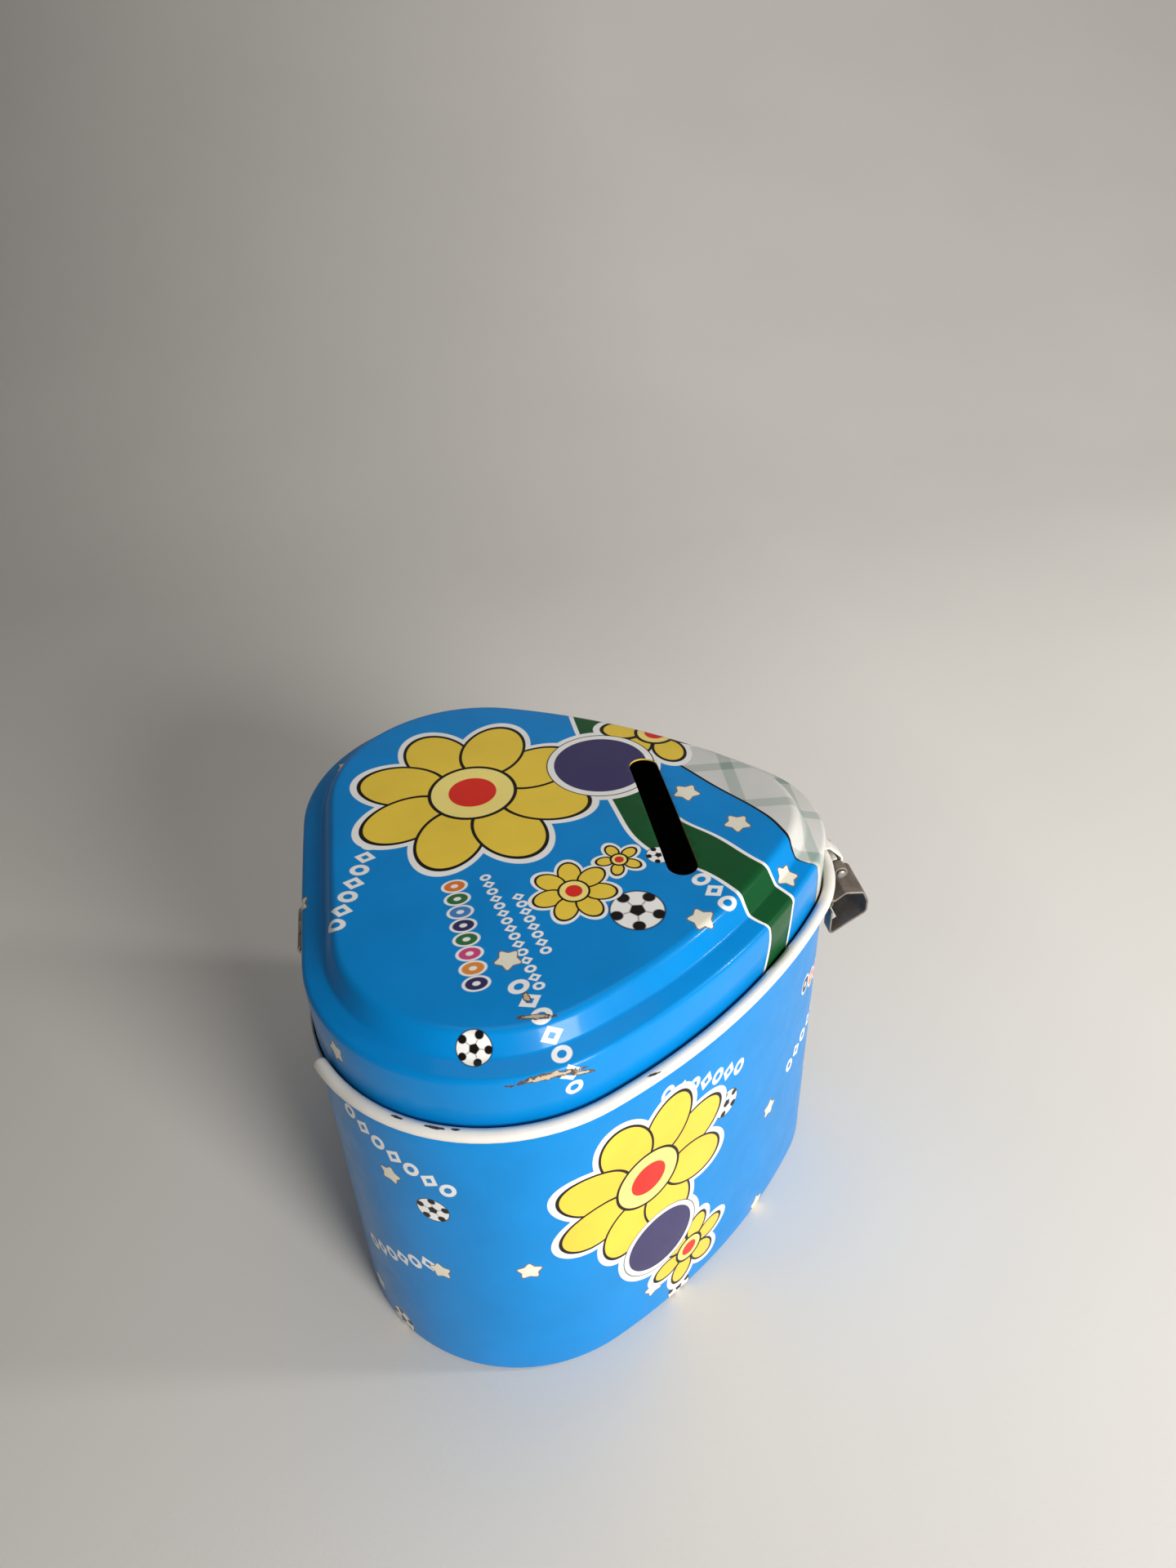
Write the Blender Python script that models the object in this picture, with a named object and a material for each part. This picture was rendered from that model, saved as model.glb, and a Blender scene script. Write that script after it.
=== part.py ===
"""Hinged tin money box with a rounded-triangle plan, a stepped lid with a coin slot, and a swinging hasp.

Frame: +Z up, the hasp at the tip of the triangle faces -Y, and the hinged flat side faces +Y.
The origin is the middle of the overall box, on the plane the base rests on. Metres.
"""

import math

import bmesh
import bpy
from mathutils import Matrix, Vector

MM = 0.001

# Sheet and clearances
SHEET = 0.3 * MM
STRAP_SHEET = 0.4 * MM
GAP = 0.3 * MM

# Plan outline: one flat back, two large back corners, two bulged flanks and a small tip, all tangent arcs
CORNER_X = 16.25 * MM
CORNER_RADIUS = 28.75 * MM
TIP_SETBACK = 36.2 * MM
TIP_RADIUS = 19.95 * MM
BACK_RADIUS = 1060.0 * MM
FLANK_RADIUS = 107.2 * MM
BACK_STEPS = 2
CORNER_STEPS = 8
FLANK_STEPS = 6
TIP_STEPS = 5

# Body: plan offsets of the wall's middle surface and of the rolled rim bead, and heights
WALL_OFFSET = 0.10 * MM
FOOT_RADIUS = 1.0 * MM
FOOT_FLANGE = 3.3 * MM
FOOT_STEPS = 3
BEAD_OFFSET = 1.05 * MM
BEAD_RADIUS = 1.15 * MM
BEAD_Z = 63.25 * MM
BEAD_END_X = 28.5 * MM
BEAD_SIDES = 12
BEAD_END_RINGS = ((0.85, 0.5), (0.45, 0.9))

# Base panel
BASE_OFFSET = WALL_OFFSET - SHEET - GAP
BASE_Z = 3.0 * MM
BASE_FLANGE_Z = SHEET + GAP
BASE_BEND = 0.8 * MM
BASE_BEND_STEPS = 2
BASE_STEP_IN = 6.0 * MM
BASE_STEP_UP = 0.9 * MM

# Lid: a skirt inside the mouth, an outer edge, a ledge, a sloped riser and a gently domed crown
LID_OFFSET = BEAD_OFFSET - BEAD_RADIUS - GAP - SHEET / 2
SKIRT_Z = 58.9 * MM
EDGE_Z = 72.25 * MM
EDGE_RADIUS = 0.9 * MM
EDGE_STEPS = 3
LEDGE_OFFSET = -3.6 * MM
LEDGE_Z = 73.05 * MM
SHOULDER_OFFSET = -5.0 * MM
SHOULDER_Z = 75.4 * MM
SHOULDER_ROUND = 1.6 * MM
SHOULDER_STEPS = 3
SHOULDER_END = math.radians(78)
CROWN_OFFSET = -9.5 * MM
CROWN_Z = 76.3 * MM
CROWN_RISE = 0.5 * MM
CROWN_RINGS = (0.7, 0.35)

# Coin slot across the lid
SLOT_LENGTH = 31.0 * MM
SLOT_WIDTH = 4.8 * MM
SLOT_SETBACK = 29.2 * MM
SLOT_END_STEPS = 8

# Hinge: knuckles rolled from the body and the lid around a wire that lies in line with the bead
KNUCKLE_RADIUS = BEAD_RADIUS - STRAP_SHEET / 2
HINGE_WIRE_RADIUS = 0.45 * MM
HINGE_WIRE_PROUD = 0.4 * MM
HINGE_OFFSET = BEAD_OFFSET + 0.1 * MM
HINGE_Z = BEAD_Z
BODY_TAB_DROP = 4.7 * MM
RIM_CUT_Z = 61.7 * MM
RIM_CUT_HALF = 28.0 * MM
HINGE_HALF = 4.6 * MM
BODY_KNUCKLES = ((-HINGE_HALF, -1.8 * MM), (1.8 * MM, HINGE_HALF))
LID_KNUCKLES = ((-1.5 * MM, 1.5 * MM),)
RING_SWEEP = math.radians(280)
RING_STEPS = 11
BEND_STEPS = 3

# Hasp: a bracket on the lid reaches over the bead to a pin that carries the swinging strap.
# Setbacks are measured forward from the tip of the plan outline.
PIN_SETBACK = 3.1 * MM
PIN_Z = 61.3 * MM
HASP_RING = 1.0 * MM
HASP_PIN_RADIUS = 0.6 * MM
HASP_PIN_HALF = 4.5 * MM
BRACKET_HALF = 1.5 * MM
BRACKET_TOP_Z = 69.6 * MM
BRACKET_OVER_Z = 65.0 * MM
BRACKET_KNEE = 1.9 * MM
BRACKET_SHOULDER_Z = 62.6 * MM
STRAP_HALF = 4.0 * MM
STRAP_EAR = BRACKET_HALF + GAP
STRAP_WAIST_Z = 54.6 * MM
STRAP_NECK_Z = 58.9 * MM
LOOP_RISE = (4.6 * MM, 56.5 * MM)
LOOP_TOP = (7.9 * MM, 56.0 * MM)
LOOP_NOSE = (8.8 * MM, 53.9 * MM)
LOOP_CHIN = (8.8 * MM, 51.6 * MM)
LOOP_HEEL = (2.5 * MM, 47.3 * MM)
FOOT_TOP_Z = 52.4 * MM
FORK_REACH = 4.6 * MM
SHARP_BEND = 0.42 * MM
TOP_BEND = 0.9 * MM
NOSE_BEND = 1.2 * MM

# Staple on the body, inside the strap's loop
STAPLE_HALF = 1.0 * MM
FORK_HALF = STAPLE_HALF + 1.5 * GAP
STAPLE_REACH = 3.8 * MM
STAPLE_LOW_Z = 51.0 * MM
STAPLE_HIGH_Z = 53.9 * MM
STAPLE_FLANGE = 2.2 * MM

# Rods, and how far a cutting shape reaches past the sheet it cuts
ROD_SIDES = 8
ROD_BEVEL = 0.4
CUT_CLEAR = 2.5 * MM

# The frame's origin sits midway between the strap's nose and the back of the hinge
TIP_Y = -(TIP_SETBACK + TIP_RADIUS)
HINGE_Y = CORNER_RADIUS + HINGE_OFFSET
FRONT_MOST = TIP_Y - LOOP_NOSE[0] - STRAP_SHEET / 2
BACK_MOST = HINGE_Y + KNUCKLE_RADIUS + STRAP_SHEET / 2
PLAN_Y = -(FRONT_MOST + BACK_MOST) / 2


def clear_scene():
    for item in list(bpy.data.objects):
        bpy.data.objects.remove(item, do_unlink=True)


def make_material(name, colour, roughness, metallic):
    material = bpy.data.materials.new(name)
    material.use_nodes = True
    shader = material.node_tree.nodes["Principled BSDF"]
    shader.inputs["Base Color"].default_value = (*colour, 1.0)
    shader.inputs["Roughness"].default_value = roughness
    shader.inputs["Metallic"].default_value = metallic
    return material


def make_object(name, bm, material=None, smooth=True):
    mesh = bpy.data.meshes.new(name)
    bm.to_mesh(mesh)
    bm.free()
    if smooth:
        mesh.shade_smooth()
        mesh.set_sharp_from_angle(angle=math.radians(40))
    if material:
        mesh.materials.append(material)
    item = bpy.data.objects.new(name, mesh)
    bpy.context.collection.objects.link(item)
    return item


def make_guide(item):
    """Marks an operand of a Boolean, which isn't a piece of the box."""
    item.hide_render = True
    item.display_type = "WIRE"
    return item


def arc_angles(start, end, steps):
    return [start + (end - start) * i / steps for i in range(steps + 1)]


def arc_points(centre, radius, start, end, steps):
    return [
        (centre[0] + radius * math.cos(a), centre[1] + radius * math.sin(a))
        for a in arc_angles(start, end, steps)
    ]


def flank_centre():
    """Centre of the right flank's arc, which is tangent to the back corner's arc and to the tip's arc."""
    corner = Vector((CORNER_X, 0.0))
    tip = Vector((0.0, -TIP_SETBACK))
    to_corner = FLANK_RADIUS - CORNER_RADIUS
    to_tip = FLANK_RADIUS - TIP_RADIUS
    across = tip - corner
    along = (to_corner**2 - to_tip**2 + across.length_squared) / (2 * across.length)
    aside = math.sqrt(to_corner**2 - along**2)
    unit = across.normalized()
    inward = Vector((unit.y, -unit.x))
    return corner + unit * along + inward * aside


def outline(offset):
    """The plan outline moved outwards by offset, clockwise from the middle of the back, as (x, y) points."""
    corner = Vector((CORNER_X, 0.0))
    tip = Vector((0.0, -TIP_SETBACK))
    flank = flank_centre()
    back = Vector((0.0, -math.sqrt((BACK_RADIUS - CORNER_RADIUS) ** 2 - CORNER_X**2)))
    up = math.pi / 2
    back_end = up - math.asin(CORNER_X / (BACK_RADIUS - CORNER_RADIUS))
    corner_end = math.atan2(corner.y - flank.y, corner.x - flank.x)
    flank_end = math.atan2(tip.y - flank.y, tip.x - flank.x)
    half = arc_points(back, BACK_RADIUS + offset, up, back_end, BACK_STEPS)
    half += arc_points(corner, CORNER_RADIUS + offset, back_end, corner_end, CORNER_STEPS)[1:]
    half += arc_points(flank, FLANK_RADIUS + offset, corner_end, flank_end, FLANK_STEPS)[1:]
    half += arc_points(tip, TIP_RADIUS + offset, flank_end, -up, TIP_STEPS)[1:]
    mirrored = [(-x, y) for x, y in reversed(half[1:-1])]
    return [(x, y + PLAN_Y) for x, y in half + mirrored]


def add_ring(bm, points, z):
    return [bm.verts.new((x, y, z)) for x, y in points]


def bridge_rings(bm, rings):
    """Joins each ring of vertices to the next one with quads."""
    for low, high in zip(rings, rings[1:]):
        for i in range(len(low)):
            j = (i + 1) % len(low)
            bm.faces.new((low[i], low[j], high[j], high[i]))


def fan(bm, ring, centre):
    hub = bm.verts.new(centre)
    for i in range(len(ring)):
        bm.faces.new((ring[i], ring[(i + 1) % len(ring)], hub))


def add_solidify(item, thickness):
    solidify = item.modifiers.new("sheet", "SOLIDIFY")
    solidify.thickness = thickness
    solidify.offset = 0.0
    solidify.use_even_offset = True


def add_boolean(item, operand, operation):
    boolean = item.modifiers.new(operand.name, "BOOLEAN")
    boolean.operation = operation
    boolean.solver = "EXACT"
    boolean.object = operand


def make_box(name, low, high):
    bm = bmesh.new()
    bmesh.ops.create_cube(bm, size=1.0)
    size = Vector(high) - Vector(low)
    middle = (Vector(high) + Vector(low)) / 2
    bmesh.ops.scale(bm, vec=size, verts=bm.verts)
    bmesh.ops.translate(bm, vec=middle, verts=bm.verts)
    return make_guide(make_object(name, bm, smooth=False))


def strip_solid(name, path, bands, material=None):
    """A strip of sheet along path in the YZ plane. bands lists (x from, x to, first point, last point)."""
    bm = bmesh.new()
    xs = sorted({x for band in bands for x in band[:2]})
    grid = {}
    for x_from, x_to, first, last in bands:
        for i in range(first, last + 1):
            for x in xs:
                if x_from <= x <= x_to and (i, x) not in grid:
                    grid[(i, x)] = bm.verts.new((x, *path[i]))
        inside = [x for x in xs if x_from <= x <= x_to]
        for i in range(first, last):
            for x, next_x in zip(inside, inside[1:]):
                bm.faces.new((grid[(i, x)], grid[(i, next_x)], grid[(i + 1, next_x)], grid[(i + 1, x)]))
    item = make_object(name, bm, material)
    add_solidify(item, STRAP_SHEET)
    return item


def rounded_path(corners, radii):
    """The polyline through corners with each inner corner turned on an arc of its radius."""
    path = [corners[0]]
    for before, corner, after, radius in zip(corners, corners[1:], corners[2:], radii):
        here = Vector(corner)
        back = (Vector(before) - here).normalized()
        ahead = (Vector(after) - here).normalized()
        half = back.angle(ahead) / 2
        centre = here + (back + ahead).normalized() * radius / math.sin(half)
        start = here + back * radius / math.tan(half) - centre
        end = here + ahead * radius / math.tan(half) - centre
        turn = start.angle_signed(end)
        for i in range(BEND_STEPS + 1):
            spoke = Matrix.Rotation(-turn * i / BEND_STEPS, 2) @ start
            path.append(tuple(centre + spoke))
    path.append(corners[-1])
    return path


def make_rod(name, centre, radius, half, material):
    """A wire or pin along X with softly rounded ends."""
    bm = bmesh.new()
    bmesh.ops.create_cone(
        bm, cap_ends=True, segments=ROD_SIDES, radius1=radius, radius2=radius, depth=2 * half
    )
    ends = [e for e in bm.edges if abs(e.verts[0].co.z - e.verts[1].co.z) < half]
    bmesh.ops.bevel(bm, geom=ends, offset=radius * ROD_BEVEL, segments=1, affect="EDGES", clamp_overlap=True)
    for vert in bm.verts:
        x, y, z = vert.co
        vert.co = (z + centre[0], y + centre[1], -x + centre[2])
    return make_object(name, bm, material)


def bead_line():
    """Points of the bead's middle line and its outward normals, from one side of the hinge to the other."""
    radius = CORNER_RADIUS + BEAD_OFFSET
    line = outline(BEAD_OFFSET)
    outer = outline(BEAD_OFFSET + MM)
    kept = [i for i, (x, y) in enumerate(line) if y < PLAN_Y or abs(x) > BEAD_END_X + BEAD_RADIUS]
    points = [Vector(line[i]) for i in kept]
    normals = [(Vector(outer[i]) - Vector(line[i])).normalized() for i in kept]
    lean = math.acos((BEAD_END_X - CORNER_X) / radius)
    for side, place in ((1, 0), (-1, len(points) + 1)):
        normal = Vector((side * math.cos(lean), math.sin(lean)))
        points.insert(place, Vector((side * CORNER_X, PLAN_Y)) + normal * radius)
        normals.insert(place, normal)
    return points, normals


def body_bead():
    """The rolled rim: a tube that follows the outline and stops with rounded ends short of the hinge."""
    points, normals = bead_line()
    bm = bmesh.new()

    def section(point, normal, scale):
        ring = []
        for k in range(BEAD_SIDES):
            angle = 2 * math.pi * (k + 0.5) / BEAD_SIDES
            place = point + normal * scale * BEAD_RADIUS * math.cos(angle)
            ring.append(bm.verts.new((*place, BEAD_Z + scale * BEAD_RADIUS * math.sin(angle))))
        return ring

    def rounded_end(end, beside, normal):
        away = (end - beside).normalized() * BEAD_RADIUS
        return [section(end + away * reach, normal, scale) for scale, reach in BEAD_END_RINGS]

    rings = rounded_end(points[0], points[1], normals[0])[::-1]
    rings += [section(point, normal, 1.0) for point, normal in zip(points, normals)]
    rings += rounded_end(points[-1], points[-2], normals[-1])
    bridge_rings(bm, rings)
    bm.faces.new(rings[0])
    bm.faces.new(rings[-1])
    bmesh.ops.recalc_face_normals(bm, faces=bm.faces)
    return make_guide(make_object("rim_bead", bm))


def knuckle_path(start, contact_angle):
    """Path of a tab that runs from start to the hinge's wire and rolls round it, clockwise seen from +X."""
    centre = (PLAN_Y + HINGE_Y, HINGE_Z)
    ring = arc_points(centre, KNUCKLE_RADIUS, contact_angle, contact_angle - RING_SWEEP, RING_STEPS)
    return [start, *ring]


def body_knuckle(name, span):
    y = PLAN_Y + HINGE_Y - KNUCKLE_RADIUS
    path = knuckle_path((y, HINGE_Z - BODY_TAB_DROP), math.pi)
    return make_guide(strip_solid(name, path, [(*span, 0, len(path) - 1)]))


def lid_knuckle(name, span):
    lid_y = PLAN_Y + CORNER_RADIUS + LID_OFFSET
    path = knuckle_path((lid_y, HINGE_Z + KNUCKLE_RADIUS), math.pi / 2)
    return make_guide(strip_solid(name, path, [(*span, 0, len(path) - 1)]))


def body_wall(material):
    """The side sheet: turned in at the foot, straight up, and rolled outwards at the rim."""
    bm = bmesh.new()
    profile = [(WALL_OFFSET - FOOT_FLANGE, SHEET / 2)]
    bend = (WALL_OFFSET - FOOT_RADIUS, SHEET / 2 + FOOT_RADIUS)
    profile += arc_points(bend, FOOT_RADIUS, -math.pi / 2, 0.0, FOOT_STEPS)
    profile.append((WALL_OFFSET, RIM_CUT_Z))
    profile.append((WALL_OFFSET, BEAD_Z))
    bridge_rings(bm, [add_ring(bm, outline(offset), z) for offset, z in profile])
    item = make_object("body_wall", bm, material)
    add_solidify(item, SHEET)
    back = PLAN_Y + CORNER_RADIUS
    reach = 2 * CUT_CLEAR
    cut = make_box(
        "rim_gap",
        (-RIM_CUT_HALF, back - reach, RIM_CUT_Z),
        (RIM_CUT_HALF, back + reach, BEAD_Z + reach),
    )
    add_boolean(item, cut, "DIFFERENCE")
    add_boolean(item, body_bead(), "UNION")
    for i, span in enumerate(BODY_KNUCKLES):
        add_boolean(item, body_knuckle(f"body_knuckle_{i + 1}", span), "UNION")
    return item


def base_panel(material):
    """A pressed pan whose turned-down edge stands on the wall's foot flange."""
    bm = bmesh.new()
    profile = [(BASE_OFFSET, BASE_FLANGE_Z)]
    bend = (BASE_OFFSET - BASE_BEND, BASE_Z - BASE_BEND)
    profile += arc_points(bend, BASE_BEND, 0.0, math.pi / 2, BASE_BEND_STEPS)
    profile.append((BASE_OFFSET - BASE_STEP_IN, BASE_Z))
    profile.append((BASE_OFFSET - BASE_STEP_IN - BASE_STEP_UP, BASE_Z + BASE_STEP_UP))
    rings = [add_ring(bm, outline(offset), z) for offset, z in profile]
    bridge_rings(bm, rings)
    centre_y = PLAN_Y - TIP_SETBACK / 3
    fan(bm, rings[-1], (0.0, centre_y, BASE_Z + BASE_STEP_UP))
    item = make_object("base_panel", bm, material)
    add_solidify(item, SHEET)
    return item


def lid_profile():
    """Offsets and heights of the lid's middle surface, from the skirt's lower edge to the crown's edge."""
    edge = (LID_OFFSET - EDGE_RADIUS, EDGE_Z - EDGE_RADIUS)
    riser = math.atan2(SHOULDER_Z - LEDGE_Z, LEDGE_OFFSET - SHOULDER_OFFSET)
    lean = math.pi / 2 - riser
    shoulder = (
        SHOULDER_OFFSET - SHOULDER_ROUND * math.cos(lean),
        SHOULDER_Z - SHOULDER_ROUND * math.sin(lean),
    )
    profile = [(LID_OFFSET, SKIRT_Z)]
    profile += arc_points(edge, EDGE_RADIUS, 0.0, math.pi / 2, EDGE_STEPS)
    profile.append((LEDGE_OFFSET, LEDGE_Z))
    profile += arc_points(shoulder, SHOULDER_ROUND, lean, SHOULDER_END, SHOULDER_STEPS)
    profile.append((CROWN_OFFSET, CROWN_Z))
    return profile


def coin_slot_cutter():
    half = SLOT_LENGTH / 2 - SLOT_WIDTH / 2
    y = PLAN_Y - SLOT_SETBACK
    right = arc_points((half, y), SLOT_WIDTH / 2, -math.pi / 2, math.pi / 2, SLOT_END_STEPS)
    left = arc_points((-half, y), SLOT_WIDTH / 2, math.pi / 2, 3 * math.pi / 2, SLOT_END_STEPS)
    bm = bmesh.new()
    rings = [add_ring(bm, right + left, z) for z in (CROWN_Z - CUT_CLEAR, CROWN_Z + CUT_CLEAR)]
    bridge_rings(bm, rings)
    for ring in rings:
        bm.faces.new(ring)
    bmesh.ops.recalc_face_normals(bm, faces=bm.faces)
    return make_guide(make_object("coin_slot", bm, smooth=False))


def lid_shell(material):
    """One pressed sheet: skirt, outer edge, ledge, riser and crown, with knuckles bent out of the skirt."""
    bm = bmesh.new()
    rings = [add_ring(bm, outline(offset), z) for offset, z in lid_profile()]
    crown = outline(CROWN_OFFSET)
    centre = Vector((0.0, PLAN_Y - TIP_SETBACK / 3))
    for scale in CROWN_RINGS:
        points = [centre + (Vector(p) - centre) * scale for p in crown]
        rings.append(add_ring(bm, points, CROWN_Z + CROWN_RISE * (1 - scale**2)))
    bridge_rings(bm, rings)
    fan(bm, rings[-1], (*centre, CROWN_Z + CROWN_RISE))
    item = make_object("lid_shell", bm, material)
    add_solidify(item, SHEET)
    back = PLAN_Y + CORNER_RADIUS
    for i, (x_from, x_to) in enumerate(LID_KNUCKLES):
        notch = make_box(
            f"skirt_notch_{i + 1}",
            (x_from - GAP, back - CUT_CLEAR, SKIRT_Z - CUT_CLEAR),
            (x_to + GAP, back + CUT_CLEAR, HINGE_Z + KNUCKLE_RADIUS - STRAP_SHEET / 4),
        )
        add_boolean(item, notch, "DIFFERENCE")
    for i, span in enumerate(LID_KNUCKLES):
        add_boolean(item, lid_knuckle(f"lid_knuckle_{i + 1}", span), "UNION")
    add_boolean(item, coin_slot_cutter(), "DIFFERENCE")
    return item


def hinge_pin(material):
    centre = (0.0, PLAN_Y + HINGE_Y, HINGE_Z)
    return make_rod("hinge_pin", centre, HINGE_WIRE_RADIUS, HINGE_HALF + HINGE_WIRE_PROUD, material)


def front(setback):
    """The y of a point that lies setback in front of the plan outline's tip."""
    return PLAN_Y + TIP_Y - setback


def hasp_bracket(material):
    """A strip on the lid's front that reaches over the bead and rolls round the hasp's pin."""
    lid_y = front(LID_OFFSET + SHEET / 2 + GAP + STRAP_SHEET / 2)
    outer_y = front(PIN_SETBACK + HASP_RING)
    corners = [
        (lid_y, BRACKET_TOP_Z),
        (lid_y, BRACKET_OVER_Z),
        (front(BRACKET_KNEE), BRACKET_OVER_Z),
        (outer_y, BRACKET_SHOULDER_Z),
        (outer_y, PIN_Z),
    ]
    path = rounded_path(corners, (SHARP_BEND, SHARP_BEND, TOP_BEND, TOP_BEND / 2))
    turn = math.pi + RING_SWEEP
    path += arc_points((front(PIN_SETBACK), PIN_Z), HASP_RING, math.pi, turn, RING_STEPS)[1:]
    return strip_solid("hasp_bracket", path, [(-BRACKET_HALF, BRACKET_HALF, 0, len(path) - 1)], material)


def hasp_strap(material):
    """The swinging strip: two ears on the pin, a neck, a loop with a blunt nose, and a forked foot."""
    neck_y = front(PIN_SETBACK - HASP_RING)
    chin = Vector((front(LOOP_CHIN[0]), LOOP_CHIN[1]))
    heel = Vector((front(LOOP_HEEL[0]), LOOP_HEEL[1]))
    fork = chin.lerp(heel, (LOOP_CHIN[0] - FORK_REACH) / (LOOP_CHIN[0] - LOOP_HEEL[0]))
    ring = arc_points((front(PIN_SETBACK), PIN_Z), HASP_RING, RING_SWEEP, 0.0, RING_STEPS)
    loop = [
        (neck_y, STRAP_NECK_Z),
        (neck_y, STRAP_WAIST_Z),
        (front(LOOP_RISE[0]), LOOP_RISE[1]),
        (front(LOOP_TOP[0]), LOOP_TOP[1]),
        (front(LOOP_NOSE[0]), LOOP_NOSE[1]),
        tuple(chin),
        tuple(fork),
    ]
    loop = rounded_path(loop, (SHARP_BEND, TOP_BEND, TOP_BEND, NOSE_BEND, NOSE_BEND))
    foot = rounded_path([tuple(fork), tuple(heel), (heel.x, FOOT_TOP_Z)], (SHARP_BEND,))
    path = ring + loop + foot[1:]
    neck = len(ring)
    fork_place = neck + len(loop) - 1
    end = len(path) - 1
    bands = [
        (-STRAP_HALF, -STRAP_EAR, 0, neck),
        (STRAP_EAR, STRAP_HALF, 0, neck),
        (-STRAP_HALF, STRAP_HALF, neck, fork_place),
        (-STRAP_HALF, -FORK_HALF, fork_place, end),
        (FORK_HALF, STRAP_HALF, fork_place, end),
    ]
    return strip_solid("hasp_strap", path, bands, material)


def hasp_pin(material):
    return make_rod("hasp_pin", (0.0, front(PIN_SETBACK), PIN_Z), HASP_PIN_RADIUS, HASP_PIN_HALF, material)


def hasp_staple(material):
    """A strip bent to a loop, with two flanges that lie against the body's wall."""
    flange_y = front(WALL_OFFSET + SHEET / 2 + GAP + STRAP_SHEET / 2)
    crown_y = front(STAPLE_REACH)
    corners = [
        (flange_y, STAPLE_HIGH_Z + STAPLE_FLANGE),
        (flange_y, STAPLE_HIGH_Z),
        (crown_y, STAPLE_HIGH_Z),
        (crown_y, STAPLE_LOW_Z),
        (flange_y, STAPLE_LOW_Z),
        (flange_y, STAPLE_LOW_Z - STAPLE_FLANGE),
    ]
    path = rounded_path(corners, (SHARP_BEND,) * 4)
    return strip_solid("hasp_staple", path, [(-STAPLE_HALF, STAPLE_HALF, 0, len(path) - 1)], material)


def make_axis(name, centre, parent=None):
    """An empty on a joint's axis. The joint's pieces hang on it."""
    axis = bpy.data.objects.new(name, None)
    bpy.context.collection.objects.link(axis)
    axis.location = centre
    if parent:
        axis.location = Vector(centre) - parent.location
        axis.parent = parent
    return axis


def hang(items, axis, centre):
    for item in items:
        item.parent = axis
        item.location = -Vector(centre)


def main():
    clear_scene()
    printed = make_material("printed_enamel", (0.035, 0.32, 0.74), 0.3, 0.0)
    tinplate = make_material("tinplate", (0.46, 0.44, 0.41), 0.38, 1.0)
    wire = make_material("steel_wire", (0.42, 0.41, 0.40), 0.35, 1.0)
    white = make_material("white_enamel", (0.85, 0.85, 0.83), 0.35, 0.0)

    body_wall(printed)
    base_panel(tinplate)
    hasp_staple(tinplate)
    hinge_pin(wire)

    lid_centre = (0.0, PLAN_Y + HINGE_Y, HINGE_Z)
    lid_axis = make_axis("lid_hinge_axis", lid_centre)
    hang([lid_shell(printed), hasp_bracket(white), hasp_pin(wire)], lid_axis, lid_centre)

    hasp_centre = (0.0, front(PIN_SETBACK), PIN_Z)
    hasp_axis = make_axis("hasp_hinge_axis", hasp_centre, lid_axis)
    hang([hasp_strap(tinplate)], hasp_axis, hasp_centre)


main()
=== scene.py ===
"""Looks of the hinged tin money box: printed sheets, a white rim, wire and a tinplate hasp.

Sizes are in millimetres and are turned into metres where a mesh is made.
+Z is up and -Y is the hasp's side.
The print is drawn by shader nodes from flat shapes, on the sheets' unrolled coordinates in millimetres.
"""

import math

import bmesh
import bpy
from mathutils import Matrix, Vector


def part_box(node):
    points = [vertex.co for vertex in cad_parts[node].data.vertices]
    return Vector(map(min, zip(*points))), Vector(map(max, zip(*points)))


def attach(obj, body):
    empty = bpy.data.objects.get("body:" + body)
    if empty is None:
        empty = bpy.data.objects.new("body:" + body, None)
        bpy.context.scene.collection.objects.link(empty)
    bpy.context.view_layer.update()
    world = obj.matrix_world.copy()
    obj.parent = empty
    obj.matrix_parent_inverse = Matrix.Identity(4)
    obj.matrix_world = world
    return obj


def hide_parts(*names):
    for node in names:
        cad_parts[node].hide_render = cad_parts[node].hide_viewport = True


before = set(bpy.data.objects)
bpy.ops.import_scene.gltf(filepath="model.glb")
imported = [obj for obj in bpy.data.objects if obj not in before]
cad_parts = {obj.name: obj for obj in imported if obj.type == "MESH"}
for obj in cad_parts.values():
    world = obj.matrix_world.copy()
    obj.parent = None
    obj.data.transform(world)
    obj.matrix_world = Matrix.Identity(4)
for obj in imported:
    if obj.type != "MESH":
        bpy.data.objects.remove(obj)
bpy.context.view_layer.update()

MM = 0.001


def corner_mm(node, high):
    """The highest or lowest corner of a node of the frame, in millimetres."""
    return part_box(node)[1 if high else 0] / MM


# Sheet
SHEET = 0.3
STRAP_SHEET = 0.4
GAP = 0.3
SHEET_BEVEL = 0.07
STRAP_BEVEL = 0.11

# Plan outline: tangent arcs, with its own origin midway between the two back corners' centres
CORNER_X = 16.25
CORNER_RADIUS = 28.75
TIP_SETBACK = 36.2
TIP_RADIUS = 19.95
BACK_RADIUS = 1060.0
FLANK_RADIUS = 107.2
BACK_STEPS = 4
CORNER_STEPS = 30
FLANK_STEPS = 22
TIP_STEPS = 16

# Body
WALL_OFFSET = 0.10
FOOT_RADIUS = 1.0
FOOT_FLANGE = 3.3
FOOT_STEPS = 8
WALL_RINGS = 12
BEAD_OFFSET = 1.05
BEAD_RADIUS = corner_mm("body_wall", True).x - CORNER_X - CORNER_RADIUS - BEAD_OFFSET
BEAD_END_X = 28.5
BEAD_SIDES = 28
BEAD_END_STEPS = 6

# Base
BASE_OFFSET = WALL_OFFSET - SHEET - GAP
BASE_Z = 3.0
BASE_BEND = 0.8
BASE_STEP_IN = 6.0
BASE_STEP_UP = 0.9
BASE_RIB_IN = 14.0
BASE_RIB = 0.35
BASE_BEND_STEPS = 4

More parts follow.
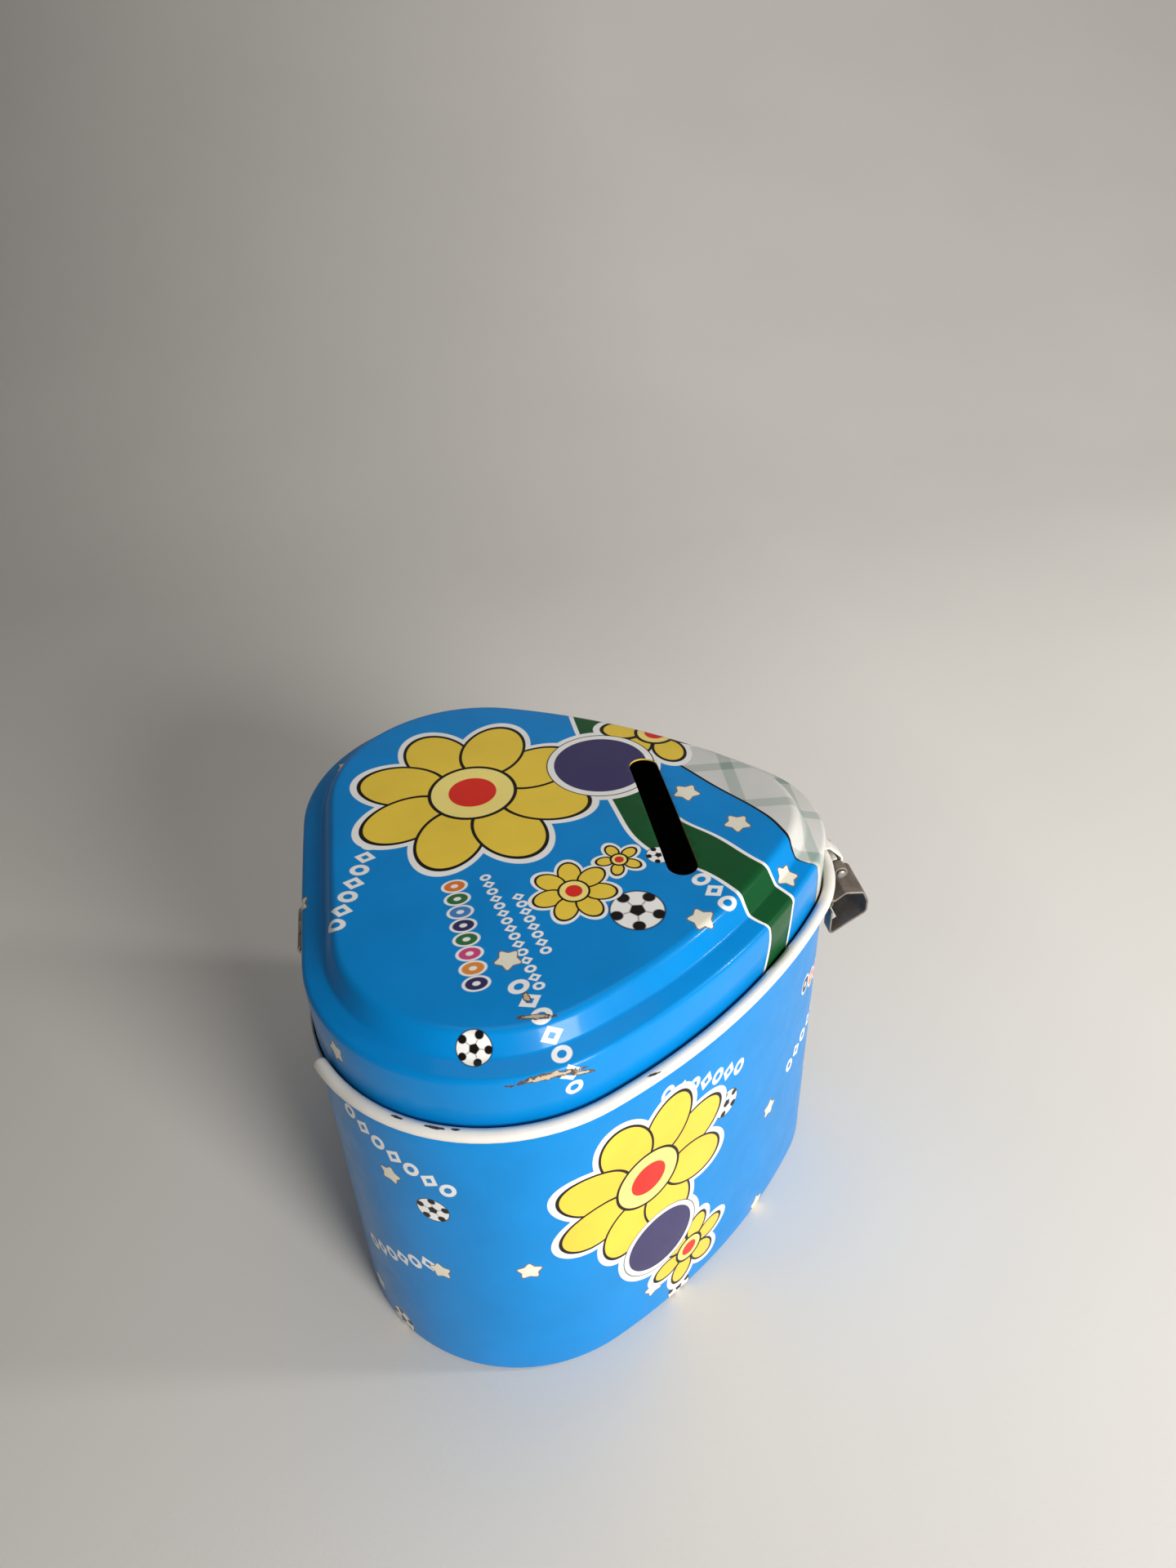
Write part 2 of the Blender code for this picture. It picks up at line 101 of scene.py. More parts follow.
# Places that come from the frame
PLAN_Y = corner_mm("base_panel", True).y - CORNER_RADIUS - BASE_OFFSET - SHEET / 2
HINGE_RING = BEAD_RADIUS - STRAP_SHEET / 2
HINGE_WIRE = 0.45
HINGE_Z = (corner_mm("hinge_pin", True).z + corner_mm("hinge_pin", False).z) / 2
HINGE_Y = (corner_mm("hinge_pin", True).y + corner_mm("hinge_pin", False).y) / 2
HINGE_WIRE_HALF = corner_mm("hinge_pin", True).x
HASP_Z = (corner_mm("hasp_pin", True).z + corner_mm("hasp_pin", False).z) / 2
HASP_Y = (corner_mm("hasp_pin", True).y + corner_mm("hasp_pin", False).y) / 2
HASP_PIN_HALF = corner_mm("hasp_pin", True).x
BEAD_Z = 63.25
SKIRT_Z = corner_mm("lid_shell", False).z

# Hinge
BODY_TAB_DROP = 4.7
RIM_CUT_Z = 61.7
RIM_CUT_HALF = 28.0
BODY_KNUCKLES = ((-4.6, -1.8), (1.8, 4.6))
LID_KNUCKLES = ((-1.5, 1.5),)
RING_SWEEP = math.radians(280)
RING_STEPS = 28
CUT_CLEAR = 2.5

# Lid: skirt, edge, ledge, riser, shoulder and crown
LID_OFFSET = BEAD_OFFSET - BEAD_RADIUS - GAP - SHEET / 2
EDGE_Z = 72.25
EDGE_RADIUS = 0.9
LEDGE_OFFSET = -3.6
LEDGE_Z = 73.05
LEDGE_FILLET = 1.1
SHOULDER_OFFSET = -5.0
SHOULDER_Z = 75.4
SHOULDER_ROUND = 1.6
SHOULDER_END = math.radians(87)
CROWN_OFFSET = -9.5
CROWN_Z = 76.3
CROWN_RISE = 0.5
CROWN_RINGS = 12
LID_BEND_STEPS = 8
SLOT_LENGTH = 31.0
SLOT_WIDTH = 4.8
SLOT_SETBACK = 29.2
SLOT_END_STEPS = 24

# Hasp. Setbacks are measured forward from the tip of the plan outline.
TIP_Y = PLAN_Y - TIP_SETBACK - TIP_RADIUS
PIN_SETBACK = TIP_Y - HASP_Y
HASP_RING = 1.0
HASP_PIN = 0.6
BRACKET_HALF = corner_mm("hasp_bracket", True).x
BRACKET_TOP_Z = 69.6
BRACKET_OVER_Z = 65.0
BRACKET_KNEE = 1.9
BRACKET_SHOULDER_Z = 62.6
STRAP_HALF = corner_mm("hasp_strap", True).x
STRAP_EAR = BRACKET_HALF + GAP
STRAP_WAIST_Z = 54.6
STRAP_NECK_Z = 58.9
LOOP_RISE = (4.6, 56.5)
LOOP_TOP = (7.9, 56.0)
LOOP_NOSE = (8.8, 53.9)
LOOP_CHIN = (8.8, 51.6)
LOOP_HEEL = (2.5, 47.3)
FOOT_TOP_Z = 52.4
FORK_REACH = 4.6
SHARP_BEND = 0.42
TOP_BEND = 0.9
NOSE_BEND = 1.2
STAPLE_HALF = corner_mm("hasp_staple", True).x
FORK_HALF = STAPLE_HALF + 1.5 * GAP
STAPLE_REACH = 3.8
STAPLE_LOW_Z = 51.0
STAPLE_HIGH_Z = 53.9
STAPLE_FLANGE = 2.2

# Wires: heads as (radius, length), and a head's outline as shares of them
HINGE_HEAD = (0.62, 0.4)
HASP_HEAD = (0.85, 0.45)
HEAD_TURNS = (0.5, 0.9, 1.3)
HEAD_WIDEST = 0.55
HEAD_BACK = 0.9
HEAD_TAPER = 0.96
ROD_STEPS = 28
MERGE_GAP = 0.001

# Camera
CAMERA_PLACE = (-142.5, 22.9, 191.0)
CAMERA_YAW = -0.161
CAMERA_PITCH = 0.636
CAMERA_ROLL = -0.043
SENSOR = 36.0
LENS = 26.56
CLIP_NEAR = 0.01
CLIP_FAR = 100.0


# ---------------- outlines and paths


def arc_points(centre, radius, start, end, steps):
    angles = [start + (end - start) * i / steps for i in range(steps + 1)]
    return [(centre[0] + radius * math.cos(a), centre[1] + radius * math.sin(a)) for a in angles]


def flank_centre():
    """Centre of the right flank's arc, which is tangent to the back corner's arc and to the tip's arc."""
    corner = Vector((CORNER_X, 0.0))
    tip = Vector((0.0, -TIP_SETBACK))
    to_corner = FLANK_RADIUS - CORNER_RADIUS
    to_tip = FLANK_RADIUS - TIP_RADIUS
    across = tip - corner
    along = (to_corner**2 - to_tip**2 + across.length_squared) / (2 * across.length)
    aside = math.sqrt(to_corner**2 - along**2)
    unit = across.normalized()
    return corner + unit * along + Vector((unit.y, -unit.x)) * aside


def outline(offset):
    """The plan outline moved outwards by offset, clockwise from the middle of the back and back to it."""
    corner = Vector((CORNER_X, 0.0))
    tip = Vector((0.0, -TIP_SETBACK))
    flank = flank_centre()
    back = Vector((0.0, -math.sqrt((BACK_RADIUS - CORNER_RADIUS) ** 2 - CORNER_X**2)))
    up = math.pi / 2
    back_end = up - math.asin(CORNER_X / (BACK_RADIUS - CORNER_RADIUS))
    corner_end = math.atan2(corner.y - flank.y, corner.x - flank.x)
    flank_end = math.atan2(tip.y - flank.y, tip.x - flank.x)
    half = arc_points(back, BACK_RADIUS + offset, up, back_end, BACK_STEPS)
    half += arc_points(corner, CORNER_RADIUS + offset, back_end, corner_end, CORNER_STEPS)[1:]
    half += arc_points(flank, FLANK_RADIUS + offset, corner_end, flank_end, FLANK_STEPS)[1:]
    half += arc_points(tip, TIP_RADIUS + offset, flank_end, -up, TIP_STEPS)[1:]
    return half + [(-x, y) for x, y in reversed(half[:-1])]


def rounded_path(corners, radii, steps=6):
    """The polyline through corners with each inner corner turned on an arc of its radius."""
    path = [tuple(corners[0])]
    for before, corner, after, radius in zip(corners, corners[1:], corners[2:], radii):
        here = Vector(corner)
        back = (Vector(before) - here).normalized()
        ahead = (Vector(after) - here).normalized()
        half = back.angle(ahead) / 2
        centre = here + (back + ahead).normalized() * radius / math.sin(half)
        start = here + back * radius / math.tan(half) - centre
        end = here + ahead * radius / math.tan(half) - centre
        turn = start.angle_signed(end)
        for i in range(steps + 1):
            path.append(tuple(centre + Matrix.Rotation(-turn * i / steps, 2) @ start))
    path.append(tuple(corners[-1]))
    return path


def front(setback):
    """The y of a point that lies setback in front of the plan outline's tip."""
    return TIP_Y - setback


# ---------------- meshes


def add_mesh(name, bm, materials=()):
    """Puts a bmesh in millimetres into the scene as an object."""
    bmesh.ops.scale(bm, vec=(MM, MM, MM), verts=bm.verts)
    mesh = bpy.data.meshes.new(name)
    bm.to_mesh(mesh)
    bm.free()
    for material in materials:
        mesh.materials.append(material)
    return add_object(name, mesh)


def add_object(name, data):
    made = bpy.data.objects.new(name, data)
    bpy.context.scene.collection.objects.link(made)
    return made


def make_piece(name, bm, materials, body, node, sharp=35):
    """A smooth-shaded piece that rides on a body and stands for a CAD node."""
    piece = add_mesh(name, bm, materials)
    piece.data.shade_smooth()
    piece.data.set_sharp_from_angle(angle=math.radians(sharp))
    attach(piece, body)
    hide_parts(node)
    return piece


def make_cutter(name, bm, material):
    """An operand of a Boolean. It isn't shown, so it is no piece of the box."""
    bmesh.ops.recalc_face_normals(bm, faces=bm.faces)
    cutter = add_mesh(name, bm, [material])
    cutter.hide_render = True
    cutter.hide_viewport = True
    return cutter


def box_cutter(name, low, high, material):
    bm = bmesh.new()
    bmesh.ops.create_cube(bm, size=1.0)
    bmesh.ops.scale(bm, vec=Vector(high) - Vector(low), verts=bm.verts)
    bmesh.ops.translate(bm, vec=(Vector(high) + Vector(low)) / 2, verts=bm.verts)
    return make_cutter(name, bm, material)


def cut_out(piece, cutter):
    boolean = piece.modifiers.new(cutter.name, "BOOLEAN")
    boolean.operation = "DIFFERENCE"
    boolean.solver = "EXACT"
    boolean.material_mode = "TRANSFER"
    boolean.object = cutter


def thicken(piece, thickness, inside=0):
    """Gives a sheet its thickness. The inner face's material is inside slots further on."""
    solidify = piece.modifiers.new("sheet", "SOLIDIFY")
    solidify.thickness = thickness * MM
    solidify.offset = 0.0
    solidify.use_even_offset = True
    solidify.material_offset = inside
    solidify.material_offset_rim = inside


def soften(piece, width, segments=2, angle=50):
    bevel = piece.modifiers.new("edges", "BEVEL")
    bevel.width = width * MM
    bevel.segments = segments
    bevel.limit_method = "ANGLE"
    bevel.angle_limit = math.radians(angle)
    bevel.use_clamp_overlap = True
    bevel.harden_normals = False


def loft(rings, hub=None):
    """A sheet through closed rings of (x, y, z, u, v), faces outwards when the rings rise or run inwards.

    The last point of each ring repeats the first one, with its own u and v for the print's seam.
    """
    bm = bmesh.new()
    layer = bm.loops.layers.uv.new("print")
    rows = [[bm.verts.new(point[:3]) for point in ring[:-1]] for ring in rings]
    count = len(rows[0])
    for k in range(len(rows) - 1):
        low, high = rows[k], rows[k + 1]
        for i in range(count):
            j = (i + 1) % count
            face = bm.faces.new((low[i], high[i], high[j], low[j]))
            marks = (rings[k][i], rings[k + 1][i], rings[k + 1][i + 1], rings[k][i + 1])
            for loop, mark in zip(face.loops, marks):
                loop[layer].uv = mark[3:]
    if hub:
        middle = bm.verts.new(hub[:3])
        for i in range(count):
            face = bm.faces.new((rows[-1][i], middle, rows[-1][(i + 1) % count]))
            for loop, mark in zip(face.loops, (rings[-1][i], hub, rings[-1][i + 1])):
                loop[layer].uv = mark[3:]
    return bm


def strip(name, path, bands, material, body, node):
    """A strip of sheet along path in the YZ plane. bands lists (x from, x to, first point, last point)."""
    bm = bmesh.new()
    xs = sorted({x for band in bands for x in band[:2]})
    grid = {}
    for x_from, x_to, first, last in bands:
        inside = [x for x in xs if x_from <= x <= x_to]
        for i in range(first, last + 1):
            for x in inside:
                if (i, x) not in grid:
                    grid[(i, x)] = bm.verts.new((x, *path[i]))
        for i in range(first, last):
            for x, next_x in zip(inside, inside[1:]):
                bm.faces.new((grid[(i, x)], grid[(i, next_x)], grid[(i + 1, next_x)], grid[(i + 1, x)]))
    piece = make_piece(name, bm, [material], body, node)
    thicken(piece, STRAP_SHEET)
    soften(piece, STRAP_BEVEL)
    return piece


def rod(name, centre, radius, half, head, body, node):
    """A wire along X whose ends are hammered over to low round heads."""
    wide, deep = head
    profile = [(0.0, -half)]
    profile += [(wide * math.sin(a), -half + deep * (1 - math.cos(a)) / 2) for a in HEAD_TURNS]
    profile += [(wide, -half + deep * HEAD_WIDEST), (wide * HEAD_TAPER, -half + deep * HEAD_BACK)]
    profile += [(radius, -half + deep)]
    profile += [(r, -x) for r, x in reversed(profile)]
    bm = bmesh.new()
    verts = [bm.verts.new((x + centre[0], centre[1], centre[2] + r)) for r, x in profile]
    edges = [bm.edges.new(pair) for pair in zip(verts, verts[1:])]
    around = {"cent": centre, "axis": (1, 0, 0), "angle": 2 * math.pi}
    bmesh.ops.spin(bm, geom=verts + edges, steps=ROD_STEPS, use_merge=True, **around)
    bmesh.ops.remove_doubles(bm, verts=bm.verts, dist=MERGE_GAP)
    bmesh.ops.recalc_face_normals(bm, faces=bm.faces)
    return make_piece(name, bm, [WIRE], body, node, sharp=50)


# ---------------- shader helper


def srgb(red, green, blue):
    """A colour of 0 to 255 as the eye sees it, in the linear values that nodes take."""
    linear = []
    for channel in (red, green, blue):
        c = channel / 255
        linear.append(c / 12.92 if c <= 0.04045 else ((c + 0.055) / 1.055) ** 2.4)
    return (*linear, 1.0)


class Graph:
    """Writes a material's nodes with short calls. Every call returns the new node's output socket."""

    def __init__(self, name):
        self.material = bpy.data.materials.new(name)
        self.material.use_nodes = True
        self.tree = self.material.node_tree
        self.shader = self.tree.nodes["Principled BSDF"]

    def feed(self, socket, value):
        if isinstance(value, bpy.types.NodeSocket):
            self.tree.links.new(value, socket)
        elif value is not None:
            socket.default_value = value

    def node(self, kind, *values, output=0, **settings):
        node = self.tree.nodes.new("ShaderNode" + kind)
        for key, value in settings.items():
            setattr(node, key, value)
        for socket, value in zip(node.inputs, values):
            self.feed(socket, value)
        return node.outputs[output]

    def math(self, operation, *values):
        return self.node("Math", *values, operation=operation)

    def vector(self, operation, *values, output=0):
        return self.node("VectorMath", *values, operation=operation, output=output)

    def length(self, vector):
        return self.vector("LENGTH", vector, output=1)

    def mix(self, share, first, second):
        return self.node("MixRGB", share, first, second)

    def ramp(self, value, low, high, to_low=0.0, to_high=1.0):
        return self.node("MapRange", value, low, high, to_low, to_high)

    def below(self, value, edge, soft):
        """1 where value is under edge and 0 above it, over a soft step."""
        return self.ramp(value, edge - soft, edge + soft, 1.0, 0.0)

    def local(self, point, place, size=(1.0, 1.0), turn=0.0):
        """Coordinates about a place, turned anticlockwise by turn degrees, in units of size."""
        rotation = (0.0, 0.0, math.radians(turn))
        return self.node("Mapping", point, (*place, 0.0), rotation, (*size, 1.0), vector_type="TEXTURE")

    def noise(self, point, scale, detail=2.0, roughness=0.5):
        node = self.tree.nodes.new("ShaderNodeTexNoise")
        self.feed(node.inputs["Vector"], point)
        node.inputs["Scale"].default_value = scale
        node.inputs["Detail"].default_value = detail
        node.inputs["Roughness"].default_value = roughness
        return node.outputs["Fac"]

    def place_mm(self):
        """The piece's own coordinates, in millimetres of the frame."""
        coordinates = self.tree.nodes.new("ShaderNodeTexCoord").outputs["Object"]
        return self.vector("SCALE", coordinates, None, None, 1 / MM)

    def bump(self, height, distance_mm, strength=1.0, normal=None):
        node = self.tree.nodes.new("ShaderNodeBump")
        node.inputs["Strength"].default_value = strength
        node.inputs["Distance"].default_value = distance_mm * MM
        self.feed(node.inputs["Height"], height)
        self.feed(node.inputs["Normal"], normal)
        return node.outputs["Normal"]

    def finish(self, **values):
        for key, value in values.items():
            self.feed(self.shader.inputs[key.replace("_", " ")], value)
        return self.material


# ---------------- the print

# Widths of the print's lines and of its soft edges, in millimetres
EDGE_SOFT = 0.05
LINE = 0.5
FINE_LINE = 0.34
HALO = 1.0
FINE_HALO = 0.5
DISC_LINE = 0.16

BLUE = srgb(0, 134, 209)
YELLOW = srgb(238, 203, 70)
PALE_YELLOW = srgb(247, 226, 132)
RED = srgb(220, 46, 34)
INK = srgb(20, 15, 14)
PAPER = srgb(242, 240, 236)
CREAM = srgb(236, 230, 210)
BROWN = srgb(120, 88, 60)
NAVY = srgb(62, 56, 98)
GREEN = srgb(16, 80, 40)
# The tip zone's white, greyed below the paper white as painted shade
SHADED_TIP_WHITE = srgb(212, 210, 205)
NET = srgb(146, 164, 156)
TINTS = (
    srgb(52, 46, 96),
    srgb(226, 140, 60),
    srgb(206, 72, 128),
    srgb(50, 110, 64),
    srgb(52, 46, 96),
    srgb(70, 130, 196),
    srgb(50, 110, 64),
    srgb(222, 120, 52),
)

# Parts of a plain flower, as shares of its reach to a petal's tip
PETAL_PLACE = 0.62
PETAL_LONG = 0.38
PETAL_WIDE = 0.27
HEART = 0.36
HEART_SPOT = 0.2
DISC_PLACE = (2.5, -18.5)
DISC_RIM = (7.6, 7.6)
DISC_SIZE = (6.6, 6.6)


def flower(place, reach, petals, turn, line):
    """Oval petals about a round heart, back to front.

    Each shape is (place, radii, turn, colour, line width, has a halo).
    """
    shapes = []
    for i in range(petals):
        angle = turn + 360 * i / petals
        x = place[0] + PETAL_PLACE * reach * math.cos(math.radians(angle))
        y = place[1] + PETAL_PLACE * reach * math.sin(math.radians(angle))
        shapes.append(((x, y), (PETAL_LONG * reach, PETAL_WIDE * reach), angle, YELLOW, line, True))
    shapes.append((place, (HEART * reach, HEART * reach), 0, PALE_YELLOW, line, False))
    shapes.append((place, (HEART_SPOT * reach, HEART_SPOT * reach), 0, RED, 0.0, False))
    return shapes


BIG_FLOWERS = (
    *flower((9.0, -28.0), 8.0, 6, 10, LINE),
    *flower((0.0, 0.0), 16.5, 8, 22.5, LINE),
    (DISC_PLACE, DISC_RIM, 0, PAPER, DISC_LINE, True),
    (DISC_PLACE, DISC_SIZE, 0, NAVY, 0.0, False),
)
SMALL_FLOWERS = (
    *flower((5.5, -8.0), 3.6, 5, 18, FINE_LINE),
    *flower((0.0, 0.0), 6.4, 7, 0, FINE_LINE),
)


def paint_ovals(graph, colour, point, shapes, halo):
    """Paints a motif made of ovals: first a white halo round them all, then each with its dark line."""
    sizes = []
    around = 0.0
    for place, radii, turn, _, line, has_halo in shapes:
        size = graph.length(graph.local(point, place, radii, turn))
        mean = math.sqrt(radii[0] * radii[1])
        sizes.append((size, mean))
        if has_halo:
            rim = graph.below(size, 1 + (halo + line / 2) / mean, EDGE_SOFT / mean)
            around = graph.math("MAXIMUM", around, rim)
    colour = graph.mix(around, colour, PAPER)
    for (size, mean), shape in zip(sizes, shapes):
        tint, line = shape[3:5]
        if line:
            colour = graph.mix(graph.below(size, 1 + line / 2 / mean, EDGE_SOFT / mean), colour, INK)
        colour = graph.mix(graph.below(size, 1 - line / 2 / mean, EDGE_SOFT / mean), colour, tint)
    return colour


def nearest(graph, point, places):
    """Unit coordinates about the nearest of places, each given as ((x, y), size, turn)."""
    best, shortest = None, None
    for place, size, turn in places:
        local = graph.local(point, place, (size, size), turn)
        length = graph.length(local)
        if best is None:
            best, shortest = local, length
        else:
            closer = graph.math("LESS_THAN", length, shortest)
            best = graph.mix(closer, best, local)
            shortest = graph.math("MINIMUM", length, shortest)
    return best, shortest


def fivefold(graph, local, radius):
    """Folds unit coordinates into one tenth of a turn from the upright axis, as (along, aside)."""
    split = graph.node("SeparateXYZ", local)
    angle = graph.math("ARCTAN2", split, split.node.outputs[1])
    share = graph.math("MULTIPLY_ADD", angle, 5 / (2 * math.pi), 0.5)
    centred = graph.math("SUBTRACT", graph.math("FRACT", share), 0.5)
    folded = graph.math("MULTIPLY", graph.math("ABSOLUTE", centred), 2 * math.pi / 5)
    along = graph.math("MULTIPLY", graph.math("COSINE", folded), radius)
    aside = graph.math("MULTIPLY", graph.math("SINE", folded), radius)
    return along, aside


# Shares of a star's size
STAR_INNER = 0.6
STAR_TIP = 0.88
STAR_EDGE = 0.05
STAR_FILL = -0.02
MOTIF_SOFT = 0.03


def paint_stars(graph, colour, point, places):
    """Plump five-pointed stars, cream with a thin brown edge."""
    local, radius = nearest(graph, point, places)
    along, aside = fivefold(graph, local, radius)
    step = Vector((STAR_INNER * math.cos(math.pi / 5) - 1, STAR_INNER * math.sin(math.pi / 5)))
    normal = Vector((step.y, -step.x)).normalized()
    side = graph.math("MULTIPLY_ADD", along, normal.x, -normal.x)
    side = graph.math("MULTIPLY_ADD", aside, normal.y, side)
    tip = graph.math("SUBTRACT", radius, STAR_TIP)
    edge = graph.math("MAXIMUM", side, tip)
    colour = graph.mix(graph.below(edge, STAR_EDGE, MOTIF_SOFT), colour, BROWN)
    return graph.mix(graph.below(edge, STAR_FILL, MOTIF_SOFT), colour, CREAM)


# Shares of a ball's radius
BALL_PATCH = 0.27
BALL_EDGE_PATCH = 0.25
BALL_EDGE_PATCH_PLACE = 0.83
BALL_SEAM = 0.03
BALL_SEAM_SOFT = 0.02
BALL_SEAM_SHADE = 0.6
BALL_RIM = 1.06


def paint_balls(graph, colour, point, places):
    """Plain white sewn balls with dark five-sided patches."""
    local, radius = nearest(graph, point, places)
    along, aside = fivefold(graph, local, radius)
    turned = graph.math("MULTIPLY", along, math.cos(math.pi / 5))
    turned = graph.math("MULTIPLY_ADD", aside, math.sin(math.pi / 5), turned)
    patch = graph.below(turned, BALL_PATCH, MOTIF_SOFT)
    from_edge = graph.math("SUBTRACT", along, BALL_EDGE_PATCH_PLACE)
    outer = graph.length(graph.node("CombineXYZ", from_edge, aside))
    patch = graph.math("MAXIMUM", patch, graph.below(outer, BALL_EDGE_PATCH, MOTIF_SOFT))
    seam = graph.math("MULTIPLY", graph.below(aside, BALL_SEAM, BALL_SEAM_SOFT), BALL_SEAM_SHADE)
    patch = graph.math("MAXIMUM", patch, seam)
    colour = graph.mix(graph.below(radius, BALL_RIM, MOTIF_SOFT), colour, INK)
    ball = graph.mix(patch, PAPER, INK)
    return graph.mix(graph.below(radius, 1.0, MOTIF_SOFT), colour, ball)


# Shares of a row's pitch: the tinted discs, then the rings and diamonds
DISC_NARROWING = 0.72
TINTED_RIM = 0.5
TINTED_DISC = 0.39
TINTED_HOLE = 0.14
RING_NARROWING = 0.8
RING_RADIUS = 0.3
RING_BAND = 0.11
DIAMOND_RADIUS = 0.33
DIAMOND_BAND = 0.14
ROW_SOFT = 0.02
EVEN_SHIFT = 100.0


def paint_row(graph, colour, point, place, turn, count, pitch, tints=None):
    """A row of small rings and diamonds, or with tints, of coloured discs with white rims."""
    local = graph.local(point, place, (pitch, pitch), turn)
    split = graph.node("SeparateXYZ", local)
    shifted = graph.math("ADD", split, count / 2)
    cell = graph.math("FLOOR", shifted)
    off_middle = graph.math("ABSOLUTE", graph.math("SUBTRACT", cell, (count - 1) / 2))
    within = graph.math("LESS_THAN", off_middle, count / 2)
    across = graph.math("SUBTRACT", graph.math("FRACT", shifted), 0.5)
    up = split.node.outputs[1]
    if tints:
        ramp = graph.tree.nodes.new("ShaderNodeValToRGB")
        ramp.color_ramp.interpolation = "CONSTANT"
        elements = ramp.color_ramp.elements
        while len(elements) < len(tints):
            elements.new(1.0)
        for i, tint in enumerate(tints):
            elements[i].position = i / len(tints)
            elements[i].color = tint
        share = graph.math("DIVIDE", graph.math("ADD", cell, 0.5), len(tints))
        graph.feed(ramp.inputs[0], share)
        tall = graph.length(graph.node("CombineXYZ", across, graph.math("MULTIPLY", up, DISC_NARROWING)))
        rim = graph.math("MULTIPLY", graph.below(tall, TINTED_RIM, ROW_SOFT), within)
        colour = graph.mix(rim, colour, PAPER)
        disc = graph.math("MULTIPLY", graph.below(tall, TINTED_DISC, ROW_SOFT), within)
        colour = graph.mix(disc, colour, ramp.outputs[0])
        hole = graph.math("MULTIPLY", graph.below(tall, TINTED_HOLE, ROW_SOFT), within)
        return graph.mix(hole, colour, PAPER)
    tall = graph.length(graph.node("CombineXYZ", across, graph.math("MULTIPLY", up, RING_NARROWING)))
    from_ring = graph.math("ABSOLUTE", graph.math("SUBTRACT", tall, RING_RADIUS))
    ring = graph.below(from_ring, RING_BAND, ROW_SOFT)
    odd = graph.math("MODULO", graph.math("ADD", cell, EVEN_SHIFT), 2.0)
    flat = graph.math("MULTIPLY", graph.math("ABSOLUTE", up), RING_NARROWING)
    crossed = graph.math("ADD", graph.math("ABSOLUTE", across), flat)
    from_diamond = graph.math("ABSOLUTE", graph.math("SUBTRACT", crossed, DIAMOND_RADIUS))
    diamond = graph.below(from_diamond, DIAMOND_BAND, ROW_SOFT)
    mark = graph.math("MULTIPLY", graph.mix(odd, ring, diamond), within)
    return graph.mix(mark, colour, PAPER)


def curve_height(graph, x, points):
    """The height over x of a smooth line through points, which LID_LOW and LID_HIGH bound on both axes."""
    node = graph.tree.nodes.new("ShaderNodeFloatCurve")
    span = LID_HIGH - LID_LOW
    curve = node.mapping.curves[0]
    marks = [((px - LID_LOW) / span, (py - LID_LOW) / span) for px, py in points]
    curve.points[0].location = marks[0]
    curve.points[-1].location = marks[-1]
    for mark in marks[1:-1]:
        curve.points.new(*mark)
    node.mapping.update()
    graph.feed(node.inputs["Value"], graph.ramp(x, LID_LOW, LID_HIGH))
    return graph.math("MULTIPLY_ADD", node.outputs[0], span, LID_LOW)


# Lid print, in millimetres from the plan's origin, with the hinge up
LID_LOW = -70.0
LID_HIGH = 70.0
BAND_TOP = (
    (-70, -62), (-38, -48), (-28, -43.5), (-24, -38.5), (-16, -33), (-8, -25), (2, -22.5), (70, -22),
)
BAND_LOW = ((-70, -66), (-28, -51), (-21, -46), (-14, -40), (-8, -36), (-2, -31), (6, -28), (70, -27))
WHITE_EDGE = ((-70, -70), (-20, -60), (-15, -55), (-13, -49), (-4, -45), (7, -38), (30, -27), (70, -20))
BAND_BORDER = 0.75
INK_EDGE = 0.5
LID_FLOWERS = (12.3, 0.0)
LID_FLOWER_SCALE = 1.2
LID_SMALL_FLOWERS = (-15.5, -12.1)
# Stars and balls are (place, size, turn). Rows are (place, turn, count, pitch).
LID_STARS = (
    ((-27.3, -0.7), 2.2, 8),
    ((-24.9, -29.0), 2.3, -10),
    ((4.3, -34.4), 2.5, 12),
    ((-5.2, -40.2), 2.4, 4),
    ((-16.4, -46.1), 2.3, 40),
    ((-4.2, 30.9), 2.2, 0),
    ((-34.0, 28.6), 2.1, 15),
    ((31.0, 22.0), 2.3, 30),
)
LID_BALLS = (
    ((-21.4, -20.4), 3.9, 10),
    ((-10.2, -26.2), 1.8, 0),
    ((-40.9, 5.8), 2.4, 20),
    ((36.0, -20.0), 2.6, 0),
)
LID_ROWS = (
    ((-5.9, 20.0), -18.5, 7, 3.0),
    ((-40.9, -4.8), 21.7, 7, 3.0),
    ((-19.6, -32.4), 24, 3, 3.0),
    ((-21.3, -1.9), 11, 15, 1.7),
    ((-20.8, -5.0), 11, 8, 1.7),
)
TINTED_ROW = ((-20.6, 4.6), 3, 8, 2.9)


